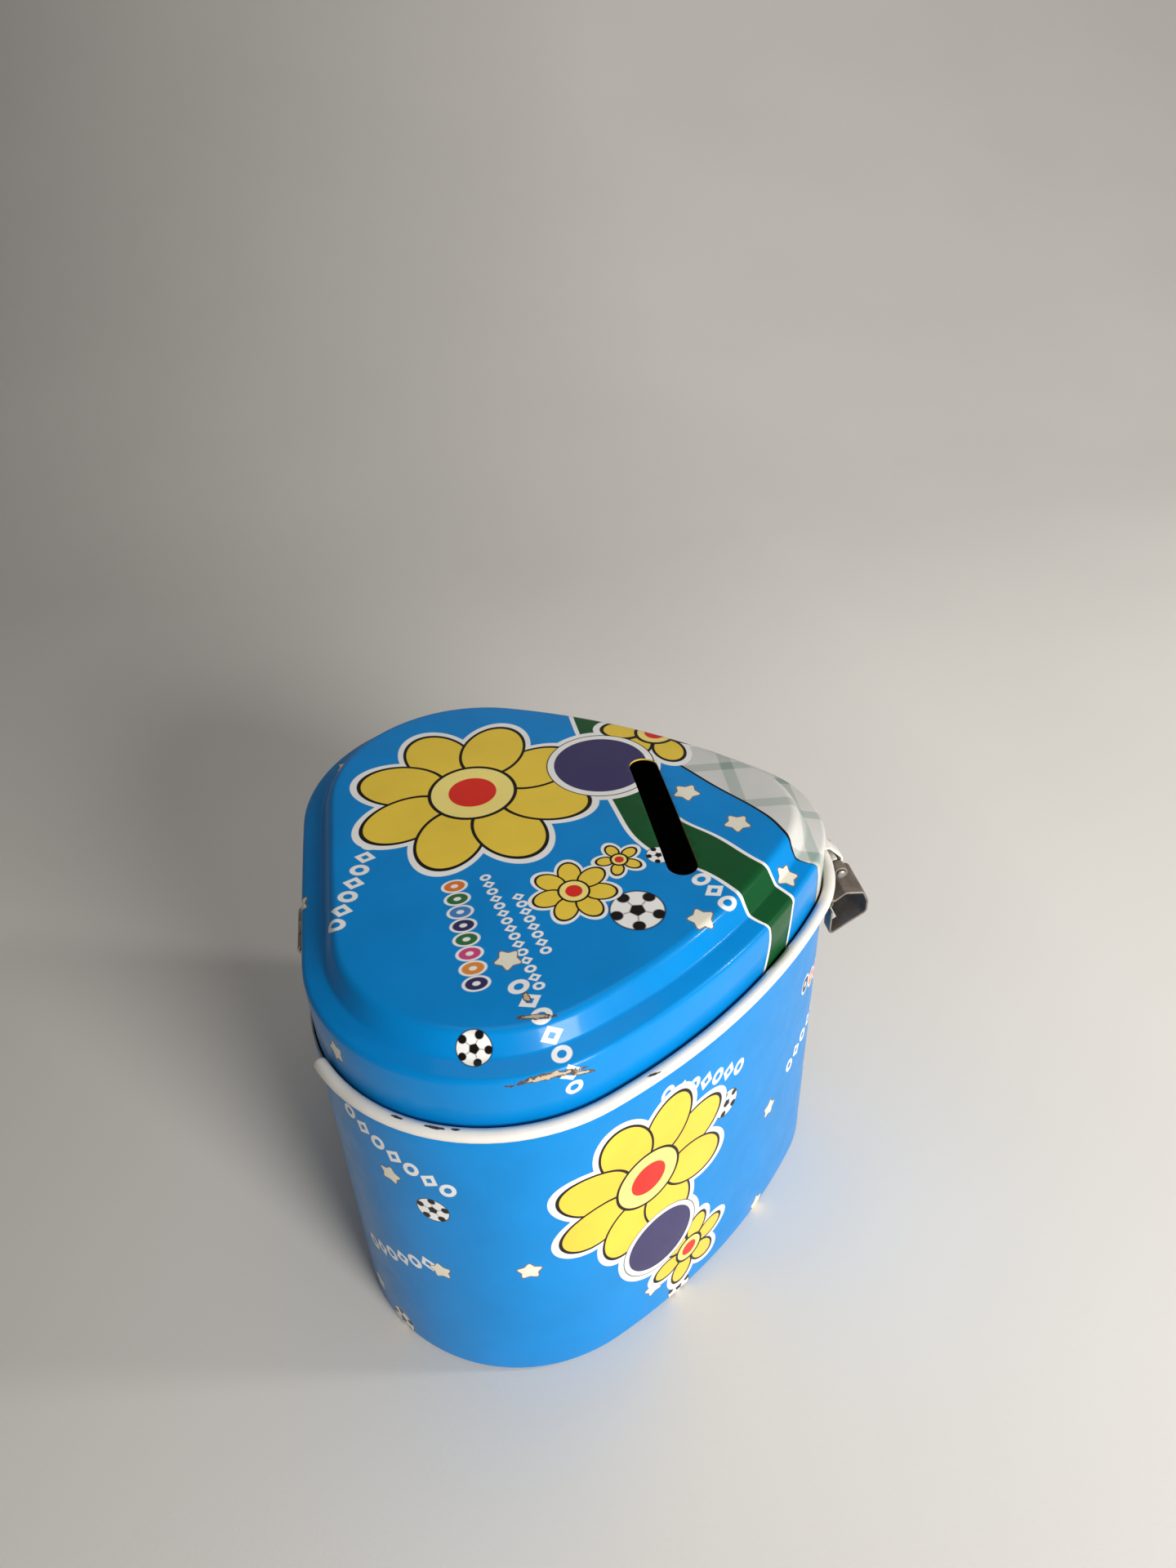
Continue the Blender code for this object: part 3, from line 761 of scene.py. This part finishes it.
def paint_lid(graph, point):
    split = graph.node("SeparateXYZ", point)
    x, y = split, split.node.outputs[1]
    colour = BLUE
    top = curve_height(graph, x, BAND_TOP)
    low = curve_height(graph, x, BAND_LOW)
    under_top = graph.math("SUBTRACT", y, top)
    over_low = graph.math("SUBTRACT", low, y)
    band = graph.math("MAXIMUM", under_top, over_low)
    for place, turn, count, pitch in LID_ROWS:
        colour = paint_row(graph, colour, point, place, turn, count, pitch)
    place, turn, count, pitch = TINTED_ROW
    colour = paint_row(graph, colour, point, place, turn, count, pitch, TINTS)
    colour = graph.mix(graph.below(band, BAND_BORDER, EDGE_SOFT), colour, PAPER)
    colour = graph.mix(graph.below(band, 0.0, EDGE_SOFT), colour, GREEN)
    colour = paint_stars(graph, colour, point, LID_STARS)
    white = graph.math("SUBTRACT", y, curve_height(graph, x, WHITE_EDGE))
    colour = graph.mix(graph.below(white, 0.0, EDGE_SOFT), colour, INK)
    colour = graph.mix(graph.below(white, -INK_EDGE, EDGE_SOFT), colour, paint_net(graph, point))
    colour = paint_balls(graph, colour, point, LID_BALLS)
    small = graph.local(point, LID_SMALL_FLOWERS)
    colour = paint_ovals(graph, colour, small, SMALL_FLOWERS, FINE_HALO)
    big = graph.local(point, LID_FLOWERS, (LID_FLOWER_SCALE, LID_FLOWER_SCALE))
    return paint_ovals(graph, colour, big, BIG_FLOWERS, HALO / LID_FLOWER_SCALE)


NET_PITCH = 11.0
NET_BAND = 1.05
NET_SOFT = 0.01
NET_ORIGIN = (-0.6, -42.2)
NET_TURN = -4.0


def paint_net(graph, point):
    """Broad pale bands that cross on the tip's white, which is greyed as painted shade; darker where they
    cross.
    """
    local = graph.local(point, NET_ORIGIN, (NET_PITCH, NET_PITCH), NET_TURN)
    split = graph.node("SeparateXYZ", local)
    bands = []
    for axis in (split, split.node.outputs[1]):
        share = graph.math("FRACT", graph.math("ADD", axis, 0.5))
        near = graph.math("ABSOLUTE", graph.math("SUBTRACT", share, 0.5))
        bands.append(graph.below(near, NET_BAND / NET_PITCH, NET_SOFT))
    amount = graph.math("MULTIPLY", graph.math("ADD", *bands), 0.5)
    return graph.mix(amount, SHADED_TIP_WHITE, NET)


# Body print, in millimetres: across from the tip, growing to the right seen from outside, and up
BODY_CELL = (-126.35, 11.15)
BODY_FLOWERS = (-57.6, 39.2)
BODY_STARS = (
    ((-97.9, 47.6), 2.1, -10),
    ((-92.0, 26.8), 2.1, 12),
    ((-78.0, 29.1), 2.2, 0),
    ((-56.6, 8.0), 2.2, 10),
    ((-26.6, 26.6), 2.1, -12),
    ((-110.0, 5.5), 2.1, 14),
    ((-28.6, 1.5), 2.1, 0),
    ((-8.0, 20.0), 2.1, 20),
)
BODY_BALLS = (
    ((-91.3, 43.0), 2.5, 0),
    ((-40.5, 41.8), 2.6, 14),
    ((-103.4, 2.2), 2.5, 8),
    ((-50.9, 1.8), 2.4, 0),
    ((-4.0, 8.0), 2.5, 0),
)
BODY_ROWS = (
    ((-96.4, 52.8), -26, 7, 3.0),
    ((-100.8, 24.0), 27, 6, 3.0),
    ((-45.8, 52.0), -26, 7, 3.0),
    ((-14.0, 33.0), 24, 5, 3.0),
)
BODY_TINTED_ROW = ((-5.6, 44.5), -14, 8, 2.9)


def paint_body(graph, point):
    split = graph.node("SeparateXYZ", point)
    across = graph.math("WRAP", split, BODY_CELL[0], BODY_CELL[1])
    point = graph.node("CombineXYZ", across, split.node.outputs[1])
    colour = BLUE
    for place, turn, count, pitch in BODY_ROWS:
        colour = paint_row(graph, colour, point, place, turn, count, pitch)
    place, turn, count, pitch = BODY_TINTED_ROW
    colour = paint_row(graph, colour, point, place, turn, count, pitch, TINTS)
    colour = paint_stars(graph, colour, point, BODY_STARS)
    colour = paint_balls(graph, colour, point, BODY_BALLS)
    return paint_ovals(graph, colour, graph.local(point, BODY_FLOWERS), BIG_FLOWERS, HALO)


# ---------------- materials


# Noise scales are per millimetre, and bump heights are in millimetres
MOTTLE_SCALE = 0.09
MOTTLE = (0.94, 1.05)
SMUDGE_SCALE = 0.25
GLOSS = (0.3, 0.42)
PEEL_SCALE = 1.4
PEEL_HEIGHT = 0.008
WAVE_SCALE = 0.07
WAVE_HEIGHT = 0.5
WAVE_STRENGTH = 0.35
RAGGED_SCALE = 1.1
RAGGED_REACH = 2.2


def printed_enamel(name, painter, scratches=(), lap=False):
    """Gloss print on tin: the drawn print, faint mottling, fine orange peel and a clear coat."""
    graph = Graph(name)
    uv = graph.node("UVMap", uv_map="print")
    colour = painter(graph, uv)
    place = graph.place_mm()
    if scratches:
        ragged = graph.noise(place, RAGGED_SCALE, 4.0, 0.7)
        colour = wear(graph, colour, worn_spots(graph, uv, scratches, ragged))
    mottle = graph.ramp(graph.noise(place, MOTTLE_SCALE, 3.0), 0.3, 0.7, *MOTTLE)
    colour = graph.vector("SCALE", colour, None, None, mottle)
    grain = graph.noise(place, PEEL_SCALE, 2.0)
    smudge = graph.noise(place, SMUDGE_SCALE, 4.0, 0.6)
    roughness = graph.ramp(smudge, 0.3, 0.75, *GLOSS)
    if lap:
        step = graph.below(graph.node("SeparateXYZ", uv), LAP_PLACE, LAP_SOFT)
        grain = graph.math("MULTIPLY_ADD", step, LAP_STEP, grain)
    peel = graph.bump(grain, PEEL_HEIGHT)
    waves = graph.bump(graph.noise(place, WAVE_SCALE, 1.0), WAVE_HEIGHT, WAVE_STRENGTH, peel)
    return graph.finish(
        Base_Color=colour,
        Roughness=roughness,
        Specular_IOR_Level=0.12,
        Normal=waves,
        Coat_Weight=0.25,
        Coat_Roughness=0.1,
        Coat_IOR=1.4,
    )


# Wear, as (place, half lengths, turn): scratches on the lid's unrolled sheet, and dashes on the bead in plan
SCRATCHES = (
    ((-46.4, -3.6), (5.6, 0.5), -85),
    ((-46.7, -8.9), (2.2, 0.4), -92),
    ((-38.2, -3.0), (2.4, 0.45), -96),
    ((-34.6, -2.2), (0.9, 0.5), 10),
)
BEAD_CHIPS = (
    ((-40.8, 16.9), (0.2, 0.9), -34),
    ((-43.4, 12.4), (0.22, 1.4), -25),
    ((-44.4, 9.4), (0.2, 0.6), -18),
    ((-41.0, -18.2), (0.16, 0.9), 15),
)
# The side sheet's lap at the back is a step in its face: its place across, and its height in grains
LAP_PLACE = 134.6
LAP_SOFT = 0.12
LAP_STEP = 36.0
WORN_METAL = srgb(198, 182, 158)
WORN_EDGE = srgb(84, 64, 46)
WORN_CORE = 0.62
CHIP_BROWN = srgb(96, 74, 54)
CHIP_DARK = srgb(62, 50, 42)
CHIP_FROM = (0.735, 0.75)
GRIME = srgb(196, 190, 178)
RIM_WHITE = srgb(238, 233, 224)
PIT_BROWN = srgb(52, 44, 36)
DRAWN = (0.35, 6.0, 6.0)
FAR_AWAY = 9.0


def worn_spots(graph, point, spots, ragged):
    """How far a point is from the middle of the nearest spot, whose ragged edge is at 1."""
    closest = FAR_AWAY
    for place, size, turn in spots:
        closest = graph.math("MINIMUM", closest, graph.length(graph.local(point, place, size, turn)))
    return graph.math("MULTIPLY_ADD", graph.math("SUBTRACT", ragged, 0.5), RAGGED_REACH, closest)


def wear(graph, colour, spot):
    """Paints spots that are bare metal inside a dark edge."""
    colour = graph.mix(graph.below(spot, 1.0, 0.1), colour, WORN_EDGE)
    return graph.mix(graph.below(spot, WORN_CORE, 0.12), colour, WORN_METAL)


def white_enamel():
    """White paint on the rolled rim: small chips down to brown and dark metal, and faint grime."""
    graph = Graph("white_rim_paint")
    place = graph.place_mm()
    fine = graph.noise(place, 0.9, 5.0, 0.7)
    chips = graph.ramp(fine, *CHIP_FROM)
    patches = graph.noise(place, 0.12, 2.0)
    grime = graph.ramp(patches, 0.45, 0.75, 0.0, 0.3)
    colour = graph.mix(grime, RIM_WHITE, GRIME)
    colour = graph.mix(chips, colour, CHIP_BROWN)
    plan = graph.vector("SUBTRACT", place, (0.0, PLAN_Y, 0.0))
    plan = graph.vector("MULTIPLY", plan, (1.0, 1.0, 0.0))
    dashes = worn_spots(graph, plan, BEAD_CHIPS, fine)
    colour = graph.mix(graph.below(dashes, 1.0, 0.1), colour, CHIP_DARK)
    height = graph.math("SUBTRACT", graph.math("MULTIPLY", graph.noise(place, 3.0, 2.0), 0.12), chips)
    return graph.finish(
        Base_Color=colour,
        Roughness=graph.ramp(patches, 0.3, 0.7, 0.3, 0.42),
        Normal=graph.bump(height, 0.05),
        Coat_Weight=0.3,
        Coat_Roughness=0.15,
    )


def tinplate(name, light, dark, roughness, metal=1.0):
    """Bare tin: drawn grain along X, tarnish in patches and small pits."""
    graph = Graph(name)
    place = graph.place_mm()
    drawn = graph.vector("MULTIPLY", place, DRAWN)
    grain = graph.noise(drawn, 1.2, 4.0, 0.6)
    patches = graph.noise(place, 0.3, 4.0, 0.65)
    pits = graph.ramp(graph.noise(place, 2.4, 3.0), 0.68, 0.76)
    colour = graph.mix(graph.ramp(patches, 0.35, 0.7), light, dark)
    colour = graph.mix(graph.ramp(grain, 0.3, 0.75, 0.0, 0.35), colour, dark)
    colour = graph.mix(graph.math("MULTIPLY", pits, 0.6), colour, PIT_BROWN)
    height = graph.math("SUBTRACT", grain, pits)
    return graph.finish(
        Base_Color=colour,
        Metallic=metal,
        Roughness=graph.ramp(patches, 0.3, 0.75, roughness, roughness + 0.18),
        Normal=graph.bump(height, 0.03),
    )


# The floor's tint, and where its painted shade starts and ends beyond the box and to its side, and how dark
# it gets
FLOOR_TINT = srgb(252, 247, 239)
FLOOR_FAR_SHADE = (150.0, 800.0, 1.0, 0.66)
FLOOR_SIDE_SHADE = (-120.0, 200.0, 1.0, 0.56)


def floor_paint():
    """Pale paint with painted shade that darkens it gently into the distance and to one side."""
    graph = Graph("pale_floor")
    place = graph.place_mm()
    split = graph.node("SeparateXYZ", place)
    # Painted shade: the floor's colour darkens away from the box and towards one side
    far = graph.ramp(split, *FLOOR_FAR_SHADE)
    aside = graph.ramp(split.node.outputs[1], *FLOOR_SIDE_SHADE)
    soft = graph.ramp(graph.noise(place, 0.01, 2.0), 0.3, 0.7, 0.98, 1.02)
    shade = graph.math("MULTIPLY", graph.math("MULTIPLY", far, aside), soft)
    colour = graph.vector("SCALE", FLOOR_TINT[:3], None, None, shade)
    grain = graph.bump(graph.noise(place, 1.5, 3.0), 0.02)
    return graph.finish(Base_Color=colour, Roughness=0.6, Normal=grain)


LID_PRINT = printed_enamel("printed_lid_enamel", paint_lid, SCRATCHES)
BODY_PRINT = printed_enamel("printed_body_enamel", paint_body, lap=True)
RIM_PAINT = white_enamel()
HASP_TIN = tinplate("hasp_tinplate", srgb(158, 148, 138), srgb(118, 106, 94), 0.4, 0.55)
INNER_TIN = tinplate("inner_tinplate", srgb(196, 190, 178), srgb(150, 140, 126), 0.34)
WIRE = tinplate("steel_wire_metal", srgb(176, 172, 166), srgb(120, 114, 106), 0.28)


# ---------------- pieces


def ring_lengths():
    """Distance along the plan outline from the tip, growing to the right seen from outside."""
    points = [Vector(p) for p in outline(0.0)]
    walked = [0.0]
    for a, b in zip(points, points[1:]):
        walked.append(walked[-1] + (b - a).length)
    return [walked[-1] / 2 - length for length in walked]


def body_sheet():
    """The side sheet: turned in at the foot, straight up, and cut lower between the rim's ends."""
    profile = [(WALL_OFFSET - FOOT_FLANGE, SHEET / 2)]
    bend = (WALL_OFFSET - FOOT_RADIUS, SHEET / 2 + FOOT_RADIUS)
    profile += arc_points(bend, FOOT_RADIUS, -math.pi / 2, 0.0, FOOT_STEPS)
    foot_z = profile[-1][1]
    for i in range(1, WALL_RINGS + 1):
        profile.append((WALL_OFFSET, foot_z + (BEAD_Z - foot_z) * i / WALL_RINGS))
    across = ring_lengths()
    rings = []
    for offset, z in profile:
        rings.append([(x, y + PLAN_Y, z, u, z) for (x, y), u in zip(outline(offset), across)])
    faces = [BODY_PRINT, INNER_TIN]
    piece = make_piece("body_sheet", loft(rings), faces, "body", "body_wall")
    thicken(piece, SHEET, inside=1)
    back = PLAN_Y + CORNER_RADIUS
    reach = 2 * CUT_CLEAR
    low = (-RIM_CUT_HALF, back - reach, RIM_CUT_Z)
    high = (RIM_CUT_HALF, back + reach, BEAD_Z + reach)
    cut_out(piece, box_cutter("rim_gap", low, high, INNER_TIN))
    soften(piece, SHEET_BEVEL)


def rim_bead():
    """The rolled rim: a tube that follows the outline and ends in rounded noses beside the hinge."""
    line = [Vector(p) for p in outline(BEAD_OFFSET)]
    outer = [Vector(p) for p in outline(BEAD_OFFSET + 1)]
    kept = [i for i, p in enumerate(line) if p.y < 0 or abs(p.x) > BEAD_END_X + BEAD_RADIUS / 2]
    stations = [(line[i], outer[i] - line[i], 1.0) for i in kept]
    radius = CORNER_RADIUS + BEAD_OFFSET
    lean = math.acos((BEAD_END_X - CORNER_X) / radius)
    for side in (1, -1):
        normal = Vector((side * math.cos(lean), math.sin(lean)))
        place = Vector((side * CORNER_X, 0.0)) + normal * radius
        away = Vector((-side * normal.y, side * normal.x))
        nose = [(place, normal, 1.0)]
        for i in range(1, BEAD_END_STEPS):
            turn = math.pi / 2 * i / BEAD_END_STEPS
            nose.append((place + away * BEAD_RADIUS * math.sin(turn), normal, math.cos(turn)))
        stations = nose[::-1] + stations if side == 1 else stations + nose
    bm = bmesh.new()
    rings = []
    for point, normal, scale in stations:
        size = BEAD_RADIUS * scale
        ring = []
        for k in range(BEAD_SIDES):
            angle = 2 * math.pi * k / BEAD_SIDES
            place = point + normal * size * math.cos(angle)
            ring.append(bm.verts.new((place.x, place.y + PLAN_Y, BEAD_Z + size * math.sin(angle))))
        rings.append(ring)
    for low, high in zip(rings, rings[1:]):
        for k in range(BEAD_SIDES):
            j = (k + 1) % BEAD_SIDES
            bm.faces.new((low[k], low[j], high[j], high[k]))
    bm.faces.new(rings[0])
    bm.faces.new(rings[-1])
    bmesh.ops.recalc_face_normals(bm, faces=bm.faces)
    make_piece("rim_bead", bm, [RIM_PAINT], "body", "body_wall")


def knuckle_path(start, contact):
    """Path of a tab that runs from start to the hinge's wire and rolls round it, clockwise seen from +X."""
    return [start, *arc_points((HINGE_Y, HINGE_Z), HINGE_RING, contact, contact - RING_SWEEP, RING_STEPS)]


def body_knuckles():
    path = knuckle_path((HINGE_Y - HINGE_RING, HINGE_Z - BODY_TAB_DROP), math.pi)
    for i, span in enumerate(BODY_KNUCKLES):
        bands = [(*span, 0, len(path) - 1)]
        strip(f"body_knuckle_{i + 1}", path, bands, INNER_TIN, "body", "body_wall")


def lid_knuckles():
    lid_y = PLAN_Y + CORNER_RADIUS + LID_OFFSET
    path = knuckle_path((lid_y, HINGE_Z + HINGE_RING), math.pi / 2)
    for i, span in enumerate(LID_KNUCKLES):
        bands = [(*span, 0, len(path) - 1)]
        strip(f"lid_knuckle_{i + 1}", path, bands, INNER_TIN, "lid", "lid_shell")


def base_panel():
    """A pressed pan whose turned-down edge stands on the wall's foot flange, with a low round rib."""
    corners = [
        (BASE_OFFSET, SHEET + GAP),
        (BASE_OFFSET, BASE_Z),
        (BASE_OFFSET - BASE_STEP_IN, BASE_Z),
        (BASE_OFFSET - BASE_STEP_IN - BASE_STEP_UP, BASE_Z + BASE_STEP_UP),
        (BASE_OFFSET - BASE_RIB_IN, BASE_Z + BASE_STEP_UP),
        (BASE_OFFSET - BASE_RIB_IN - 2 * BASE_RIB, BASE_Z + BASE_STEP_UP + BASE_RIB),
        (BASE_OFFSET - BASE_RIB_IN - 4 * BASE_RIB, BASE_Z + BASE_STEP_UP),
        (BASE_OFFSET - BASE_RIB_IN - 6 * BASE_RIB, BASE_Z + BASE_STEP_UP),
    ]
    profile = rounded_path(corners, (BASE_BEND, *[BASE_RIB] * 5), BASE_BEND_STEPS)
    rings = [[(x, y + PLAN_Y, z, x, y) for x, y in outline(offset)] for offset, z in profile]
    hub = (0.0, PLAN_Y - TIP_SETBACK / 3, BASE_Z + BASE_STEP_UP, 0.0, 0.0)
    piece = make_piece("base_pan", loft(rings, hub), [INNER_TIN], "body", "base_panel")
    thicken(piece, SHEET)
    soften(piece, SHEET_BEVEL)


def lid_profile():
    """Offsets and heights of the lid's middle surface, from the skirt's lower edge to the crown's edge."""
    riser = math.atan2(SHOULDER_Z - LEDGE_Z, LEDGE_OFFSET - SHOULDER_OFFSET)
    lean = math.pi / 2 - riser
    middle = (
        SHOULDER_OFFSET - SHOULDER_ROUND * math.cos(lean),
        SHOULDER_Z - SHOULDER_ROUND * math.sin(lean),
    )
    corners = [
        (LID_OFFSET, SKIRT_Z),
        (LID_OFFSET, EDGE_Z),
        (LEDGE_OFFSET, LEDGE_Z),
        (SHOULDER_OFFSET, SHOULDER_Z),
    ]
    profile = rounded_path(corners, (EDGE_RADIUS, LEDGE_FILLET), LID_BEND_STEPS)[:-1]
    profile += arc_points(middle, SHOULDER_ROUND, lean, SHOULDER_END, LID_BEND_STEPS)
    profile.append((CROWN_OFFSET, CROWN_Z))
    return profile


def lid_sheet():
    """One pressed sheet with a coin slot. The print lies on it as it did on the flat sheet."""
    profile = lid_profile()
    flat = CROWN_OFFSET
    flats = [flat]
    for inner, outer in zip(profile[::-1], profile[-2::-1]):
        flat += (Vector(outer) - Vector(inner)).length
        flats.append(flat)
    rings = []
    for (offset, z), flat in zip(profile, flats[::-1]):
        places = zip(outline(offset), outline(flat))
        rings.append([(x, y + PLAN_Y, z, u, v) for (x, y), (u, v) in places])
    centre = Vector((0.0, -TIP_SETBACK / 3))
    for k in range(1, CROWN_RINGS):
        scale = 1 - k / CROWN_RINGS
        z = CROWN_Z + CROWN_RISE * (1 - scale**2)
        points = [centre + (Vector(p) - centre) * scale for p in outline(CROWN_OFFSET)]
        rings.append([(p.x, p.y + PLAN_Y, z, p.x, p.y) for p in points])
    hub = (centre.x, centre.y + PLAN_Y, CROWN_Z + CROWN_RISE, centre.x, centre.y)
    faces = [LID_PRINT, INNER_TIN]
    piece = make_piece("lid_sheet", loft(rings, hub), faces, "lid", "lid_shell")
    thicken(piece, SHEET, inside=1)
    back = PLAN_Y + CORNER_RADIUS
    for i, (x_from, x_to) in enumerate(LID_KNUCKLES):
        low = (x_from - GAP, back - CUT_CLEAR, SKIRT_Z - CUT_CLEAR)
        high = (x_to + GAP, back + CUT_CLEAR, HINGE_Z + HINGE_RING - STRAP_SHEET / 4)
        cut_out(piece, box_cutter(f"skirt_notch_{i + 1}", low, high, INNER_TIN))
    cut_out(piece, slot_cutter())
    soften(piece, SHEET_BEVEL)


def slot_cutter():
    half = (SLOT_LENGTH - SLOT_WIDTH) / 2
    y = PLAN_Y - SLOT_SETBACK
    up = math.pi / 2
    right = arc_points((half, y), SLOT_WIDTH / 2, -up, up, SLOT_END_STEPS)
    left = arc_points((-half, y), SLOT_WIDTH / 2, up, 3 * up, SLOT_END_STEPS)
    bm = bmesh.new()
    low = [bm.verts.new((x, y, CROWN_Z - CUT_CLEAR)) for x, y in right + left]
    high = [bm.verts.new((x, y, CROWN_Z + CUT_CLEAR)) for x, y in right + left]
    for i in range(len(low)):
        j = (i + 1) % len(low)
        bm.faces.new((low[i], low[j], high[j], high[i]))
    bm.faces.new(low)
    bm.faces.new(high)
    return make_cutter("coin_slot", bm, LID_PRINT)


def bracket():
    lid_y = front(LID_OFFSET + SHEET / 2 + GAP + STRAP_SHEET / 2)
    outer_y = front(PIN_SETBACK + HASP_RING)
    corners = [
        (lid_y, BRACKET_TOP_Z),
        (lid_y, BRACKET_OVER_Z),
        (front(BRACKET_KNEE), BRACKET_OVER_Z),
        (outer_y, BRACKET_SHOULDER_Z),
        (outer_y, HASP_Z),
    ]
    path = rounded_path(corners, (SHARP_BEND, SHARP_BEND, TOP_BEND, TOP_BEND / 2))
    path += arc_points((HASP_Y, HASP_Z), HASP_RING, math.pi, math.pi + RING_SWEEP, RING_STEPS)[1:]
    bands = [(-BRACKET_HALF, BRACKET_HALF, 0, len(path) - 1)]
    strip("bracket_tongue", path, bands, RIM_PAINT, "lid", "hasp_bracket")


def strap():
    neck_y = front(PIN_SETBACK - HASP_RING)
    chin = Vector((front(LOOP_CHIN[0]), LOOP_CHIN[1]))
    heel = Vector((front(LOOP_HEEL[0]), LOOP_HEEL[1]))
    fork = chin.lerp(heel, (LOOP_CHIN[0] - FORK_REACH) / (LOOP_CHIN[0] - LOOP_HEEL[0]))
    ring = arc_points((HASP_Y, HASP_Z), HASP_RING, RING_SWEEP, 0.0, RING_STEPS)
    corners = [
        (neck_y, STRAP_NECK_Z),
        (neck_y, STRAP_WAIST_Z),
        (front(LOOP_RISE[0]), LOOP_RISE[1]),
        (front(LOOP_TOP[0]), LOOP_TOP[1]),
        (front(LOOP_NOSE[0]), LOOP_NOSE[1]),
        chin,
        fork,
    ]
    loop = rounded_path(corners, (SHARP_BEND, TOP_BEND, TOP_BEND, NOSE_BEND, NOSE_BEND))
    foot = rounded_path([fork, heel, (heel.x, FOOT_TOP_Z)], (SHARP_BEND,))
    path = ring + loop + foot[1:]
    neck = len(ring)
    fork_place = neck + len(loop) - 1
    end = len(path) - 1
    bands = [
        (-STRAP_HALF, -STRAP_EAR, 0, neck),
        (STRAP_EAR, STRAP_HALF, 0, neck),
        (-STRAP_HALF, STRAP_HALF, neck, fork_place),
        (-STRAP_HALF, -FORK_HALF, fork_place, end),
        (FORK_HALF, STRAP_HALF, fork_place, end),
    ]
    strip("hasp_loop", path, bands, HASP_TIN, "hasp", "hasp_strap")


def staple():
    flange_y = front(WALL_OFFSET + SHEET / 2 + GAP + STRAP_SHEET / 2)
    crown_y = front(STAPLE_REACH)
    corners = [
        (flange_y, STAPLE_HIGH_Z + STAPLE_FLANGE),
        (flange_y, STAPLE_HIGH_Z),
        (crown_y, STAPLE_HIGH_Z),
        (crown_y, STAPLE_LOW_Z),
        (flange_y, STAPLE_LOW_Z),
        (flange_y, STAPLE_LOW_Z - STAPLE_FLANGE),
    ]
    path = rounded_path(corners, (SHARP_BEND,) * 4)
    bands = [(-STAPLE_HALF, STAPLE_HALF, 0, len(path) - 1)]
    strip("staple_strip", path, bands, HASP_TIN, "body", "hasp_staple")


body_sheet()
rim_bead()
body_knuckles()
base_panel()
lid_sheet()
lid_knuckles()
rod("hinge_wire", (0.0, HINGE_Y, HINGE_Z), HINGE_WIRE, HINGE_WIRE_HALF, HINGE_HEAD, "body", "hinge_pin")
bracket()
rod("hasp_wire", (0.0, HASP_Y, HASP_Z), HASP_PIN, HASP_PIN_HALF, HASP_HEAD, "lid", "hasp_pin")
strap()
staple()


# ---------------- stage, light and camera

FLOOR_HALF = 900.0
SWEEP_START = 260.0
SWEEP_RADIUS = 520.0
SWEEP_RISE = 700.0
SWEEP_STEPS = 24
WORLD_TINT = srgb(226, 228, 232)
WORLD_STRENGTH = 0.15
# Lights as (name, place, target, size, power in watts, tint)
LIGHTS = (
    ("key", (-700.0, -340.0, 330.0), (0.0, 0.0, 35.0), 340.0, 7.2, (1.0, 0.985, 0.96)),
    ("streak", (-160.0, -620.0, 420.0), (0.0, -20.0, 60.0), 80.0, 1.1, (1.0, 1.0, 1.0)),
    ("top", (120.0, -60.0, 900.0), (0.0, 0.0, 40.0), 600.0, 0.85, (1.0, 0.99, 0.97)),
)


def stage_floor():
    """A pale floor that rises in a gentle curve behind the box, on the far side from the camera."""
    path = [(-FLOOR_HALF, 0.0)]
    path += arc_points((SWEEP_START, SWEEP_RADIUS), SWEEP_RADIUS, -math.pi / 2, 0.0, SWEEP_STEPS)
    path.append((SWEEP_START + SWEEP_RADIUS, SWEEP_RADIUS + SWEEP_RISE))
    bm = bmesh.new()
    rows = [[bm.verts.new((x, y, z)) for y in (-FLOOR_HALF, FLOOR_HALF)] for x, z in path]
    for near, far in zip(rows, rows[1:]):
        bm.faces.new((near[0], far[0], far[1], near[1]))
    floor = add_mesh("floor", bm, [floor_paint()])
    floor.data.shade_smooth()


def add_lights():
    for name, place, target, size, power, tint in LIGHTS:
        light = bpy.data.lights.new(name, "AREA")
        light.shape = "DISK"
        light.size = size * MM
        light.energy = power
        light.color = tint
        lamp = add_object(name, light)
        lamp.location = Vector(place) * MM
        lamp.rotation_euler = (Vector(target) - Vector(place)).to_track_quat("-Z", "Y").to_euler()


def add_world():
    world = bpy.data.worlds.new("studio")
    world.use_nodes = True
    background = world.node_tree.nodes["Background"]
    background.inputs["Color"].default_value = WORLD_TINT
    background.inputs["Strength"].default_value = WORLD_STRENGTH
    bpy.context.scene.world = world


def add_camera():
    yaw, pitch, roll = CAMERA_YAW, CAMERA_PITCH, CAMERA_ROLL
    ahead = Vector((math.cos(yaw) * math.cos(pitch), math.sin(yaw) * math.cos(pitch), -math.sin(pitch)))
    level = Vector((math.sin(yaw), -math.cos(yaw), 0.0))
    above = level.cross(ahead)
    right = math.cos(roll) * level + math.sin(roll) * above
    up = math.cos(roll) * above - math.sin(roll) * level
    data = bpy.data.cameras.new("camera")
    data.sensor_width = SENSOR
    data.lens = LENS
    data.clip_start = CLIP_NEAR
    data.clip_end = CLIP_FAR
    camera = add_object("camera", data)
    axes = Matrix((right, up, -ahead)).transposed().to_4x4()
    camera.matrix_world = Matrix.Translation(Vector(CAMERA_PLACE) * MM) @ axes
    bpy.context.scene.camera = camera


stage_floor()
add_lights()
add_world()
add_camera()
bpy.context.scene.view_settings.view_transform = "Standard"
